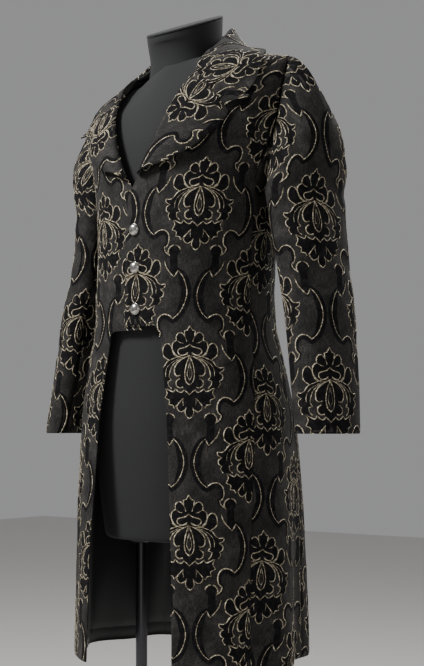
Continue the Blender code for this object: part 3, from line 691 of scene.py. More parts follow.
def lapel_sheet(mirrored):
    outer, inner = lapel_grids()
    if mirrored:
        outer, inner = outer * (-1, 1, 1), inner * (-1, 1, 1)
    name = "lapel_right" if mirrored else "lapel_left"
    return make_sheet(name, droop(outer), droop(inner), LAPEL_STEPS / 2, 3, None, (), 0.0005)


print("lapel grid", lapel_grids()[0].shape[:2])

# %% The collar's leaf
COLLAR = table(
    "along fold_x fold_y fold_z mid_x mid_y mid_z edge_x edge_y",
    (0.00, 0.0856, -0.0853, 1.4435, 0.1230, -0.0990, 1.4100, 0.155, -0.094),
    (0.18, 0.0885, -0.0520, 1.4815, 0.1370, -0.0650, 1.4480, 0.180, -0.066),
    (0.36, 0.0900, -0.0160, 1.5120, 0.1340, -0.0280, 1.4860, 0.186, -0.038),
    (0.52, 0.0840, 0.0210, 1.5410, 0.1170, 0.0160, 1.5060, 0.172, -0.004),
    (0.68, 0.0650, 0.0560, 1.5530, 0.0960, 0.0680, 1.5100, 0.137, 0.044),
    (0.84, 0.0360, 0.0770, 1.5560, 0.0560, 0.0930, 1.5140, 0.080, 0.080),
    (1.00, 0.0000, 0.0840, 1.5570, 0.0000, 0.1020, 1.5150, 0.000, 0.089),
)
COLLAR_STEPS = 61


def on_shoulders(x, y):
    """The coat's surface, and the way out of it, at a place on the shoulders seen from above."""
    low, high = np.full(x.shape, 1.20), np.full(x.shape, SHOULDER_TOP - 1e-5)
    for _ in range(40):
        level = (low + high) / 2
        half, ahead, behind = (smooth(RINGS, "level", name, level) for name in ("half", "front", "back"))
        depth = np.where(y < 0, ahead, behind)
        inside = (np.abs(x) / half) ** (2 / ROUNDNESS) + (np.abs(y) / depth) ** (2 / ROUNDNESS) < 1
        low, high = np.where(inside, level, low), np.where(inside, high, level)
    theta = theta_of(x, level)
    theta = np.where(y < 0, theta, np.sign(x + 1e-9) * 180 - theta)
    return body(theta, level), body_normal(theta, level)


def collar_line(names, along):
    return np.stack([smooth(COLLAR, "along", name, along) for name in names], axis=1)


def both_halves(half):
    """A grid from the left front end to the middle of the back, carried on to the right."""
    return np.concatenate([half, half[..., -2::-1, :] * (-1, 1, 1)], axis=-2)


def collar_grids():
    along = np.linspace(0, 1, COLLAR_STEPS)
    fold = collar_line(("fold_x", "fold_y", "fold_z"), along)
    middle = collar_line(("mid_x", "mid_y", "mid_z"), along)
    edge_x, edge_y = collar_line(("edge_x", "edge_y"), along).T
    edge, edge_out = on_shoulders(edge_x, edge_y)
    edge = edge + edge_out * (CLOTH + 0.0028)
    outward = unit((fold - (0, 0.01, 0)) * (1, 1, 0))
    turn_over = ((-0.0036, 0.0018), (-0.0006, 0.0), (0.0022, 0.0010))
    rows = [fold + outward * out - (0, 0, down) for out, down in turn_over]
    for t in LEAF_ACROSS:
        rows.append((1 - t) * (1 - 2 * t) * fold + 4 * t * (1 - t) * middle + t * (2 * t - 1) * edge)
    half = np.array(rows)
    for row in half[1:]:
        place, out = on_shoulders(row[:, 0], row[:, 1])
        short = CLOTH + 0.0047 - np.sum((row - place) * out, axis=1)
        row += out * np.maximum(short, 0)[:, None]
    lapel_outer, lapel_inner = lapel_grids()
    along_top = lapel_outer[-1, -1] - lapel_outer[3, -1]
    onward = unit(np.cross(along_top, lapel_outer[8, -1] - lapel_inner[8, -1])) * 2 * SEAM_GAP
    onward *= np.sign(onward[2])
    start = lapel_outer[:, -1] + onward
    settle = np.array([1.0, 0.82, 0.55, 0.28, 0.08])
    moved = start - half[:, 0]
    for column, share in enumerate(settle):
        half[:, column] += moved * share
    outer = both_halves(half)
    normal = grid_normals(outer)
    if normal[10, COLLAR_STEPS - 1, 1] < 0:
        normal = -normal
    return outer, outer - normal * CLOTH


def collar_sheet():
    outer, inner = collar_grids()
    return make_sheet("collar_leaf", droop(outer), droop(inner), COLLAR_STEPS - 1, 3, None, (), 0.0005)


print("collar grid", collar_grids()[0].shape[:2])

# %% [markdown]
# ## Materials
#
# Each finish starts from what the real one is. Colours are written as sRGB hex, as a colour picker shows
# them, and one function turns them to the linear numbers that Blender mixes. One function adds a node.

# %% Helpers for materials


def colour(text):
    """An sRGB hex colour as linear red, green, blue and alpha."""
    values = [int(text[i : i + 2], 16) / 255 for i in (1, 3, 5)]
    return [v / 12.92 if v <= 0.04045 else ((v + 0.055) / 1.055) ** 2.4 for v in values] + [1.0]


def add(tree, kind, settings=None, **links):
    """Adds one node. settings sets its properties and, by number or name, its inputs. links feeds inputs."""
    node = tree.nodes.new(kind)
    for key, value in (settings or {}).items():
        if isinstance(key, int):
            node.inputs[key].default_value = value
        elif key in node.inputs and not hasattr(node, key.lower().replace(" ", "_")):
            node.inputs[key].default_value = value
        else:
            setattr(node, key, value)
    for key, source in links.items():
        name = key.replace("_", " ")
        socket = node.inputs[int(key[1:])] if key[1:].isdigit() else node.inputs[name]
        tree.links.new(source, socket)
    return node


def new_material(name, **sockets):
    """A Principled material with its plain sockets set."""
    made = bpy.data.materials.new(name)
    made.use_nodes = True
    shader = made.node_tree.nodes["Principled BSDF"]
    for key, value in sockets.items():
        shader.inputs[key.replace("_", " ")].default_value = value
    return made, made.node_tree, shader


def ramp(tree, source, *stops):
    """A colour ramp through the stops given, each a position and a hex colour."""
    node = add(tree, "ShaderNodeValToRGB", Fac=source)
    elements = node.color_ramp.elements
    while len(elements) < len(stops):
        elements.new(0.5)
    for element, (position, text) in zip(elements, stops):
        element.position = position
        element.color = colour(text)
    return node


def bump(tree, shader, height, strength, distance):
    node = add(tree, "ShaderNodeBump", {"Strength": strength, "Distance": distance}, Height=height)
    tree.links.new(node.outputs["Normal"], shader.inputs["Normal"])
    return node


print("charcoal", [round(v, 4) for v in colour("#33302f")])

# %% [markdown]
# ### Brocade ground
#
# The ground is a wool-like charcoal weave, matt with a slight nap. Its threads lie about 0.6 mm apart, which
# is finer than the picture shows, so the ribs are drawn 1.3 mm apart. The pattern reads the UV map, which
# holds the flat cloth's own metres, so ribs follow the cloth over every curve.

# %% The charcoal weave
RIB = 0.0013  # real threads are 0.6 mm apart, too fine to show
SLUB_LENGTH = 0.012
brocade, tree, shader = new_material(
    "charcoal_brocade_weave", Roughness=0.8, Sheen_Weight=0.10, Sheen_Roughness=0.45, Specular_IOR_Level=0.25
)
shader.inputs["Sheen Tint"].default_value = colour("#b8b0aa")
flat = add(tree, "ShaderNodeTexCoord").outputs["UV"]
slub_map = add(tree, "ShaderNodeMapping", {"Scale": (1 / RIB, 1 / SLUB_LENGTH, 1)}, Vector=flat)
slub = add(tree, "ShaderNodeTexNoise", {"Scale": 1.0, "Detail": 3.0, "Roughness": 0.6}, Vector=slub_map.outputs[0])
pick_map = add(tree, "ShaderNodeMapping", {"Scale": (1 / (3 * RIB), 1 / RIB, 1)}, Vector=flat)
pick = add(tree, "ShaderNodeTexNoise", {"Scale": 1.0, "Detail": 2.0}, Vector=pick_map.outputs[0])
# Large soft patches, lighter and darker: the weave's random tone, and also painted sheen for the light that crinkled
# cloth catches.
weave_tone_and_painted_sheen = add(tree, "ShaderNodeTexNoise", {"Scale": 26.0, "Detail": 4.0, "Roughness": 0.65}, Vector=flat)
threads = add(tree, "ShaderNodeMath", {"operation": "ADD"}, _0=slub.outputs[0], _1=pick.outputs[0])
mixed = add(tree, "ShaderNodeMath", {"operation": "MULTIPLY_ADD", 1: 1.2}, _0=weave_tone_and_painted_sheen.outputs[0], _2=threads.outputs[0])
tint = ramp(tree, mixed.outputs[0], (0.25, "#0b0a0a"), (0.55, "#21201f"), (0.85, "#403c39"))
tint_in = add(tree, "ShaderNodeMath", {"operation": "MULTIPLY_ADD", 1: 0.95, 2: -0.97}, _0=mixed.outputs[0])
tree.links.new(tint_in.outputs[0], tint.inputs["Fac"])
tree.links.new(tint.outputs["Color"], shader.inputs["Base Color"])
crinkle = add(tree, "ShaderNodeTexNoise", {"Scale": 48.0, "Detail": 3.0, "Roughness": 0.6}, Vector=flat)
relief = add(tree, "ShaderNodeMath", {"operation": "MULTIPLY_ADD", 1: 6.0}, _0=crinkle.outputs[0], _2=threads.outputs[0])
bump(tree, shader, relief.outputs[0], 0.45, 0.0006)
print(brocade.name, len(tree.nodes), "nodes")

# %% [markdown]
# ### Black figures and gold thread
#
# The figures are a black velvety pile that stands a little proud of the ground. It drinks the light, and its
# edge catches some; lighter patches in its colour are painted sheen. The gold thread is a cord of
# metal-wrapped yarn: warm and only partly shiny. Dark core shows between its turns, and bright and dark
# patches in its colour are painted glints.

# %% The black pile and the gold thread
pile, tree, shader = new_material(
    "black_velvet_pile", Roughness=0.9, Sheen_Weight=0.10, Sheen_Roughness=0.35, Specular_IOR_Level=0.15
)
shader.inputs["Sheen Tint"].default_value = colour("#6f6a70")
flat = add(tree, "ShaderNodeTexCoord").outputs["UV"]
nap = add(tree, "ShaderNodeTexNoise", {"Scale": 420.0, "Detail": 3.0, "Roughness": 0.7}, Vector=flat)
# Lighter patches in the pile's colour are painted sheen, laid over the fine nap's random tone.
painted_sheen_patches = add(tree, "ShaderNodeTexNoise", {"Scale": 95.0, "Detail": 4.0, "Roughness": 0.7}, Vector=flat)
nap_and_painted_sheen = add(tree, "ShaderNodeMath", {"operation": "MULTIPLY_ADD", 1: 0.45}, _0=nap.outputs[0], _2=painted_sheen_patches.outputs[0])
tint = ramp(tree, nap_and_painted_sheen.outputs[0], (0.58, "#060506"), (0.78, "#141214"), (0.98, "#2a272a"))
tree.links.new(tint.outputs["Color"], shader.inputs["Base Color"])
bump(tree, shader, nap.outputs[0], 0.5, 0.0006)

TWIST = 0.0032  # one turn of the cord, a little coarser than the real one so that it shows
gold, tree, shader = new_material("gold_wrapped_thread", Metallic=0.35, Roughness=0.45, Specular_IOR_Level=0.5)
flat = add(tree, "ShaderNodeTexCoord").outputs["UV"]
twist_map = add(tree, "ShaderNodeMapping", {"Scale": (1 / TWIST, 260.0, 1), "Rotation": (0, 0, 0.5)}, Vector=flat)
twist = add(
    tree, "ShaderNodeTexWave", {"Scale": 1.0, "Distortion": 1.5, "Detail": 1.0}, Vector=twist_map.outputs[0]
)
# Bright and dark patches along the thread are painted glints; the twist's stripes are the cord's turns.
painted_glint_noise = add(tree, "ShaderNodeTexNoise", {"Scale": 210.0, "Detail": 4.0, "Roughness": 0.75}, Vector=flat)
glints = add(tree, "ShaderNodeMath", {"operation": "MULTIPLY_ADD", 1: 1.9, 2: -0.62}, _0=painted_glint_noise.outputs[0])
shine = add(tree, "ShaderNodeMath", {"operation": "MULTIPLY_ADD", 1: 0.3}, _0=twist.outputs[0], _2=glints.outputs[0])
tint = ramp(tree, shine.outputs[0], (0.32, "#4a4130"), (0.50, "#ada082"), (0.70, "#f2e9d2"))
tree.links.new(tint.outputs["Color"], shader.inputs["Base Color"])
bump(tree, shader, twist.outputs[0], 0.4, 0.0005)
print(pile.name, gold.name)

# %% [markdown]
# ### Lining, jersey, steel and silver
#
# The lining is a black acetate satin: dark with soft highlights. The dress form wears a tight black jersey.
# The pole is dark steel, brushed round its axis. The buttons are cast and polished, and dulled in patches
# by tarnish.

# %% The other finishes
satin, tree, shader = new_material("black_satin_lining", Roughness=0.36, Sheen_Weight=0.1)
place = add(tree, "ShaderNodeTexCoord").outputs["Object"]
ripple_map = add(tree, "ShaderNodeMapping", {"Scale": (900.0, 900.0, 120.0)}, Vector=place)
ripple = add(tree, "ShaderNodeTexNoise", {"Scale": 1.0, "Detail": 2.0}, Vector=ripple_map.outputs[0])
tint = ramp(tree, ripple.outputs[0], (0.3, "#0b0a0b"), (0.8, "#1b191b"))
tree.links.new(tint.outputs["Color"], shader.inputs["Base Color"])
bump(tree, shader, ripple.outputs[0], 0.15, 0.0004)

KNIT = 0.0016  # the jersey's stitches are about half this, too fine to show
jersey, tree, shader = new_material("black_jersey_cover", Roughness=0.85, Sheen_Weight=0.08, Sheen_Roughness=0.5)
place = add(tree, "ShaderNodeTexCoord").outputs["Object"]
knit_map = add(tree, "ShaderNodeMapping", {"Scale": (1 / KNIT, 1 / KNIT, 1 / KNIT)}, Vector=place)
knit = add(tree, "ShaderNodeTexVoronoi", {"Scale": 1.0}, Vector=knit_map.outputs[0])
tint = ramp(tree, knit.outputs["Distance"], (0.0, "#17181a"), (0.9, "#0b0c0d"))
tree.links.new(tint.outputs["Color"], shader.inputs["Base Color"])
bump(tree, shader, knit.outputs["Distance"], 0.25, 0.0004)

steel, tree, shader = new_material("brushed_steel", Metallic=1.0, Roughness=0.34)
place = add(tree, "ShaderNodeTexCoord").outputs["Object"]
brush_map = add(tree, "ShaderNodeMapping", {"Scale": (700.0, 700.0, 2600.0)}, Vector=place)
brush = add(tree, "ShaderNodeTexNoise", {"Scale": 1.0, "Detail": 4.0, "Roughness": 0.6}, Vector=brush_map.outputs[0])
tint = ramp(tree, brush.outputs[0], (0.3, "#454548"), (0.75, "#5c5c60"))
tree.links.new(tint.outputs["Color"], shader.inputs["Base Color"])
bump(tree, shader, brush.outputs[0], 0.08, 0.0004)

silver, tree, shader = new_material("polished_silver_plate", Metallic=1.0, Roughness=0.2)
place = add(tree, "ShaderNodeTexCoord").outputs["Object"]
tarnish = add(tree, "ShaderNodeTexNoise", {"Scale": 240.0, "Detail": 4.0}, Vector=place)
tint = ramp(tree, tarnish.outputs[0], (0.3, "#9a958f"), (0.7, "#dad7d2"))
tree.links.new(tint.outputs["Color"], shader.inputs["Base Color"])
rough = add(tree, "ShaderNodeMath", {"operation": "MULTIPLY_ADD", 1: 0.2, 2: 0.12}, _0=tarnish.outputs[0])
tree.links.new(rough.outputs[0], shader.inputs["Roughness"])
print([m.name for m in (satin, jersey, steel, silver)])

# %% [markdown]
# ## From sheet to mesh
#
# A grid becomes a mesh of four-sided faces with a UV map in flat metres. The Solidify modifier then gives it
# the cloth's thickness inwards, so the outside stays where the grid is. The inner skin takes the lining.

# %% Build a mesh from a sheet
WALL = 0.0019


def deselect_all():
    for item in bpy.context.selected_objects:
        item.select_set(False)


def apply_modifiers(item):
    """Makes the modifiers' result the mesh itself."""
    deselect_all()
    item.select_set(True)
    bpy.context.view_layer.objects.active = item
    for modifier in list(item.modifiers):
        bpy.ops.object.modifier_apply(modifier=modifier.name)


def mesh_object(name, points, faces, uv, finishes):
    """An object from points, faces and a flat place for each point."""
    mesh = bpy.data.meshes.new(name)
    mesh.from_pydata(points.tolist(), [], faces)
    loops = np.zeros(len(mesh.loops), np.int32)
    mesh.loops.foreach_get("vertex_index", loops)
    layer = mesh.uv_layers.new(name="flat_cloth")
    layer.data.foreach_set("uv", np.asarray(uv, np.float32)[loops].ravel())
    for finish in finishes:
        mesh.materials.append(finish)
    mesh.shade_smooth()
    made = bpy.data.objects.new(name, mesh)
    bpy.context.scene.collection.objects.link(made)
    return made


def thicken(item, thickness, inner_slot=0):
    modifier = item.modifiers.new("thickness", "SOLIDIFY")
    modifier.thickness = thickness
    modifier.offset = -1
    modifier.use_even_offset = False
    modifier.material_offset = inner_slot
    apply_modifiers(item)
    item.data.set_sharp_from_angle(angle=math.radians(50))


def sheet_object(sheet, finishes, thickness=WALL):
    """The piece of cloth that a sheet describes, as a closed mesh."""
    rows, columns = sheet["across"].shape
    used = np.zeros((rows, columns), bool)
    cells = np.argwhere(sheet["keep"])
    for dr in (0, 1):
        for dc in (0, 1):
            used[cells[:, 0] + dr, cells[:, 1] + dc] = True
    index = np.full((rows, columns), -1)
    index[used] = np.arange(used.sum())
    r, c = cells.T
    quads = np.stack([index[r, c], index[r, c + 1], index[r + 1, c + 1], index[r + 1, c]], axis=1)
    uv = np.stack([sheet["across"][used], sheet["along"][used]], axis=1)
    made = mesh_object(sheet["name"] + "_cloth", sheet["points"][used], quads.tolist(), uv, finishes)
    thicken(made, thickness, len(finishes) - 1)
    return made


# %% [markdown]
# ## The damask figure
#
# The cloth repeats one traditional figure: a palmette under a lobed crown, framed by curved brackets, with
# every second column half a repeat lower. It is charted here in whole millimetres, measured from the
# neck of the palmette. Only the right half is drawn, because the figure is the same on both sides. A 1 in the
# third place marks a sharp corner, and the line runs smoothly through the other points.

# %% The chart of the figure, in millimetres
COLUMN_APART = 0.1035
REPEAT_HIGH = 0.281
CROWN = (
    (0, -4, 1), (10, -7, 0), (19, -6, 1), (26, 0, 0), (30, 9, 0), (28, 18, 0), (22, 22, 1), (23, 28, 0),
    (19, 34, 0), (13, 34, 0), (8, 28, 1), (9, 37, 1), (4, 39, 1), (0, 46, 1),
)
CROWN_RIBS = (((22, 22, 1), (16, 18, 0), (11, 17, 0)), ((8, 28, 1), (6, 23, 0), (5, 19, 0)))
BOW = ((0, 15, 1), (5, 11, 0), (11, 9, 0), (18, 7, 0), (20, 2, 0), (16, -3, 0), (9, -3, 0), (3, 1, 0))
EAR = ((22, -7, 1), (28, 0, 0), (31, 10, 0), (36, 16, 0), (42, 15, 0), (46, 7, 0), (45, -4, 0), (36, -11, 1))
ARM_OUTER = (
    (3, -2, 1), (16, -5, 0), (28, -9, 0), (38, -14, 0), (44, -22, 0), (50, -25, 0), (57, -24, 1), (56, -29, 0),
    (49, -33, 1), (55, -38, 0), (54, -44, 0), (49, -47, 1), (51, -52, 0), (47, -58, 1),
)
ARM_INNER = (
    (4, -6, 1), (20, -12, 0), (29, -20, 0), (33, -29, 0), (35, -39, 0), (31, -45, 1), (37, -47, 1),
    (36, -54, 0), (31, -59, 1),
)
ARM_FOLD = ((14, -7, 0), (22, -11, 0), (31, -16, 0), (38, -23, 0), (41, -31, 0), (41, -39, 0))
HEART_UPPER = ((3, -5, 0), (11, -9, 0), (19, -15, 0), (25, -24, 0), (25, -34, 0), (21, -38, 0), (15, -37, 1))
HEART_LOWER = ((16, -43, 1), (22, -47, 0), (22, -54, 0), (17, -58, 0), (11, -57, 1))
TEARDROP = ((0, -5, 1), (4, -14, 0), (7, -26, 0), (8, -38, 0), (5, -49, 0), (0, -53, 0))
TEARDROP_VEIN = ((0, -17, 1), (3, -28, 0), (4, -37, 0), (0, -46, 0))
WAVES = (
    (0, -70, 0), (5, -65, 0), (9, -62, 1), (13, -66, 0), (18, -65, 0), (24, -60, 1), (27, -65, 0),
    (33, -63, 0), (41, -59, 1),
)
CALYX_EDGE = (
    (41, -59, 1), (38, -67, 0), (42, -75, 1), (34, -79, 0), (35, -86, 1), (28, -87, 0), (26, -92, 1),
    (20, -86, 0), (10, -75, 1),
)
PETAL = (
    (15, -81, 1), (21, -89, 0), (19, -95, 0), (14, -98, 0), (8, -95, 0), (5, -90, 1), (7, -98, 0),
    (5, -105, 0), (0, -109, 0),
)
PETAL_VEIN = ((10, -75, 0), (11, -81, 0), (10, -88, 0))
CALYX_FILL = (
    (41, -59, 1), (38, -67, 0), (42, -75, 1), (34, -79, 0), (35, -86, 1), (28, -87, 0), (26, -92, 1),
    (21, -90, 1), (19, -95, 0), (14, -98, 0), (7, -97, 1), (5, -105, 0), (0, -109, 0),
)
BRACKET = (
    (53, 15, 1), (58, 2, 0), (71, -13, 1), (77, -2, 1), (86, -12, 0), (93, -28, 0), (95, -44, 0),
    (91, -60, 0), (84, -73, 0), (74, -82, 1), (66, -76, 0), (56, -75, 0), (48, -82, 0), (46, -92, 0),
    (48, -100, 0), (53, -104, 1), (51, -111, 0), (43, -117, 1),
)
BAND_SHARES = (0.0, 0.15, 0.22, 0.28, 0.36, 0.44, 0.52, 0.60, 0.67, 0.76, 0.86, 0.95, 1.0)
BAND_OUTSIDE = (1.5, 3.0, 4.0, 6.5, 7.0, 7.0, 7.0, 7.0, 8.0, 7.0, 5.0, 3.0, 1.5)
BAND_INSIDE = (0.3, 0.3, 0.5, 6.0, 9.5, 10.0, 9.0, 5.5, 0.5, 0.3, 0.3, 0.3, 0.3)
BALL_AT, BALL_SIZE, BALL_ARC = (35.0, -111.0), 9.0, 10.5
STEM = ((35, -111, 0), (35, -130, 0), (34, -146, 0), (32, -156, 0))
STEM_SHARES, STEM_WIDTHS = (0.0, 0.3, 0.6, 0.85, 1.0), (10.0, 12.0, 13.0, 7.0, 1.0)
LINE_STEP = 3.0
THICK, USUAL, THIN = 0.0026, 0.0022, 0.0014


def through(rows, closed=False, step=LINE_STEP):
    """Points a step apart on a line through the chart's rows, smooth except at the marked corners."""
    at = np.array([row[:2] for row in rows], float)
    sharp = np.array([row[2] for row in rows], bool)
    count = len(at)
    if closed:
        at, sharp = np.concatenate([at, at[:2]]), np.concatenate([sharp, sharp[:2]])
        before = np.concatenate([at[count - 1 : count], at[:-2]])
    pieces = []
    for i in range(count if closed else count - 1):
        a, b = at[i], at[i + 1]
        ahead = at[i + 2] if i + 2 < len(at) else b
        behind = before[i] if closed else at[max(i - 1, 0)]
        leave = (b - a) if sharp[i] else (b - behind) / 2
        arrive = (b - a) if sharp[i + 1] else (ahead - a) / 2
        n = max(2, round(np.linalg.norm(b - a) / step))
        t = np.linspace(0, 1, n, endpoint=False)[:, None]
        curve = (2 * t**3 - 3 * t**2 + 1) * a + (t**3 - 2 * t**2 + t) * leave
        pieces.append(curve + (3 * t**2 - 2 * t**3) * b + (t**3 - t**2) * arrive)
    last = at[count] if closed else at[-1]
    return np.concatenate([*pieces, [last]])


def mirrored_whole(rows):
    """A closed shape from the chart of its right half, which starts and ends on the middle line."""
    half = through(rows)
    return np.concatenate([half, (half * (-1, 1))[-2::-1]])


print("crown drawn with", len(mirrored_whole(CROWN)), "points")

# %% [markdown]
# The gold line runs along every outline. The black pile fills most of the closed shapes, and a band of it
# follows each bracket. The filled shapes are cut into small triangles here, once, so that they can bend with
# the cloth.

# %% The figure's lines and filled shapes
FILL_STEP = 6.5


def filled(outline):
    """A shape's points and triangles, with extra points inside, so that it can lie on a curved sheet."""
    edge = outline[:-1]
    low, high = edge.min(axis=0), edge.max(axis=0)
    xs, ys = (np.arange(low[k] + FILL_STEP / 2, high[k], FILL_STEP) for k in (0, 1))
    grid = np.array([(x, y) for x in xs for y in ys if np.min(np.hypot(*(edge - (x, y)).T)) > FILL_STEP * 0.45])
    points = np.concatenate([edge, grid]) if len(grid) else edge
    made = delaunay_2d_cdt([Vector(p) for p in points], [], [list(range(len(edge)))], 1, 1e-4)
    return np.array([tuple(p) for p in made[0]]), np.array([face for face in made[2]])


def band(line, left, right):
    """A flat band along a line, with a width on each side of it."""
    way = unit(np.gradient(line, axis=0))
    side = np.stack([-way[:, 1], way[:, 0]], axis=1)
    points = np.concatenate([line + side * left[:, None], line, line - side * right[:, None]])
    n = len(line)
    faces = []
    for k in (0, 1):
        for i in range(n - 1):
            a, b = k * n + i, (k + 1) * n + i
            faces += [(a, a + 1, b + 1), (a, b + 1, b)]
    return points, np.array(faces)


def upright_triangles(points, faces):
    """Turns every triangle the same way round."""
    a, b, c = (points[faces[:, k]] for k in range(3))
    area = (b - a)[:, 0] * (c - a)[:, 1] - (b - a)[:, 1] * (c - a)[:, 0]
    return np.where((area < 0)[:, None], faces[:, ::-1], faces)


def round_points(centre, radius, first, last, step):
    angle = np.radians(np.arange(first, last + 1, step))
    return np.array(centre) + radius * np.stack([np.cos(angle), np.sin(angle)], axis=1)


def joined(*lines):
    """Lines put end to end as one closed outline."""
    whole = np.concatenate(lines)
    return np.concatenate([whole, whole[:1]])


def figure():
    """Every gold line with its width, and every black shape, of one figure, in metres from its neck."""
    crown, waves, calyx = mirrored_whole(CROWN), through(WAVES), through(CALYX_FILL)
    heart = joined(through(HEART_UPPER), through(HEART_LOWER), np.array([(6.0, -62.0), (0.0, -68.0)]))
    arm = joined(through(ARM_OUTER), through(ARM_INNER)[::-1])
    under = joined(waves, calyx)
    stem, bracket = through(STEM), through(BRACKET)
    at = np.linspace(0, 1, len(bracket))
    stem_half = np.interp(np.linspace(0, 1, len(stem)), STEM_SHARES, STEM_WIDTHS) / 2
    lines = [(crown, USUAL), (mirrored_whole(TEARDROP), THICK), (mirrored_whole(TEARDROP_VEIN), THIN)]
    shapes = [filled(crown)]
    for side in (1, -1):
        for rows, width in (
            (BOW, THICK), (ARM_OUTER, USUAL), (ARM_INNER, USUAL), (ARM_FOLD, THIN), (HEART_UPPER, THICK),
            (HEART_LOWER, THICK), (WAVES, USUAL), (CALYX_EDGE, USUAL), (PETAL, USUAL), (PETAL_VEIN, THIN),
            (BRACKET, THICK), (EAR, USUAL), *((rib, THIN) for rib in CROWN_RIBS),
        ):
            lines.append((through(rows) * (side, 1), width))
        lines.append((round_points(BALL_AT, BALL_ARC, -40, 80, 15) * (side, 1), USUAL))
        lines.append((round_points(BALL_AT, BALL_ARC, 95, 165, 14) * (side, 1), USUAL))
        for points, faces in (
            filled(joined(through(EAR))), filled(arm), filled(heart), filled(under),
            filled(round_points(BALL_AT, BALL_SIZE, 0, 360, 24)), band(stem, stem_half, stem_half),
            band(bracket, np.interp(at, BAND_SHARES, BAND_OUTSIDE), np.interp(at, BAND_SHARES, BAND_INSIDE)),
        ):
            shapes.append((points * (side, 1), faces))
    shapes = [(points / 1000, upright_triangles(points, faces)) for points, faces in shapes]
    return [(line / 1000, width) for line, width in lines], shapes


LINES, SHAPES = figure()
gold_length = sum(np.linalg.norm(np.diff(line, axis=0), axis=1).sum() for line, _ in LINES)
print(len(LINES), "gold lines,", round(gold_length, 2), "m in all;", sum(len(f) for _, f in SHAPES), "black triangles")

# %% [markdown]
# ## Lay the figure on the worn cloth
#
# A place on the flat cloth is looked up in the sheet's grid of flat places: start near it and step towards it
# until the numbers agree. What falls off the piece is cut at its edge, as scissors cut the real cloth, so
# figures break at the seams.

# %% Find flat places on a sheet


def sample(grid, i, j):
    """A grid's values between its points. Places outside it carry on its last cells."""
    r = np.clip(np.floor(i).astype(int), 0, grid.shape[0] - 2)
    c = np.clip(np.floor(j).astype(int), 0, grid.shape[1] - 2)
    v, u = i - r, j - c
    if grid.ndim == 3:
        v, u = v[..., None], u[..., None]
    low = grid[r, c] * (1 - u) + grid[r, c + 1] * u
    high = grid[r + 1, c] * (1 - u) + grid[r + 1, c + 1] * u
    return low * (1 - v) + high * v


def find_on(sheet, s, t):
    """The row and column, with fractions, of places on the flat cloth."""
    across, along = sheet["across"], sheet["along"]
    rows, columns = across.shape
    i = np.interp(t, along[:, columns // 2], np.arange(rows))
    j = np.interp(s, across[rows // 2], np.arange(columns))
    for _ in range(16):
        r = np.clip(np.floor(i).astype(int), 0, rows - 2)
        c = np.clip(np.floor(j).astype(int), 0, columns - 2)
        off_s, off_t = sample(across, i, j) - s, sample(along, i, j) - t
        s_j, s_i = across[r, c + 1] - across[r, c], across[r + 1, c] - across[r, c]
        t_j, t_i = along[r, c + 1] - along[r, c], along[r + 1, c] - along[r, c]
        turned = s_j * t_i - s_i * t_j
        turned = np.where(np.abs(turned) < 1e-12, 1e-12, turned)
        i = np.clip(i - np.clip((off_t * s_j - off_s * t_j) / turned, -6, 6), -40, rows + 40)
        j = np.clip(j - np.clip((off_s * t_i - off_t * s_i) / turned, -6, 6), -40, columns + 40)
    return i, j


def is_on(sheet, i, j):
    """Which places lie on the piece, and not on what was cut away."""
    keep = sheet["keep"]
    r, c = np.floor(i).astype(int), np.floor(j).astype(int)
    on_grid = (i >= 0) & (j >= 0) & (i <= keep.shape[0]) & (j <= keep.shape[1])
    return on_grid & keep[np.clip(r, 0, keep.shape[0] - 1), np.clip(c, 0, keep.shape[1] - 1)]


def bring_on(sheet, i, j):
    """Moves places that lie off the piece to its nearest edge."""
    keep = sheet["keep"]
    i, j = np.clip(i, 0, keep.shape[0]), np.clip(j, 0, keep.shape[1])
    if keep.all():
        return i, j
    cut_row = int(np.argmax(keep.all(axis=1)))
    gone = np.flatnonzero(~keep[0])
    low_side = gone[0] == 0
    line = gone[-1] + 1 if low_side else gone[0]
    lost = (i < cut_row) & ((j < line) if low_side else (j > line))
    rows_off = (cut_row - i) * ROW_STEP
    columns_off = np.abs(sample(sheet["across"], i, j) - sample(sheet["across"], i, 0 * j + line))
    up = lost & (rows_off < columns_off)
    return np.where(up, cut_row, i), np.where(lost & ~up, line, j)


# %% [markdown]
# The gold thread is a ribbon about 2.2 mm wide that stands half a millimetre proud, with three sides. Its
# width wavers, as a couched thread's does.

# %% Run the gold thread along lines
THREAD_HIGH = 0.0006
PILE_HIGH = 0.00026


def thread_run(sheet, i, j, width, start):
    """One stretch of thread as points, faces and flat places. start numbers its first point."""
    at, out = sample(sheet["points"], i, j), unit(sample(sheet["normal"], i, j))
    way = unit(np.gradient(at, axis=0))
    side = unit(np.cross(out, way))
    gone = np.concatenate([[0], np.cumsum(np.linalg.norm(np.diff(at, axis=0), axis=1))])
    waver = 1 + 0.16 * np.sin(at @ (2100.0, 1700.0, 1900.0)) + 0.10 * np.sin(at @ (900.0, -1300.0, 700.0))
    half = (width / 2 * waver)[:, None]
    points = np.stack([at - side * half, at + out * THREAD_HIGH, at + side * half, at - out * 0.0003], axis=1)
    n = len(at)
    base = start + 4 * np.arange(n - 1)[:, None]
    faces = [base + (k, 4 + k, 4 + (k + 1) % 4, (k + 1) % 4) for k in range(4)]
    ends = [[start + 3, start + 2, start + 1, start], [start + 4 * n - 4 + k for k in range(4)]]
    uv = np.stack([np.repeat(gone, 4), np.tile([0.0, 0.001, 0.002, 0.003], n)], axis=1)
    return points.reshape(-1, 3), np.concatenate(faces).tolist() + ends, uv


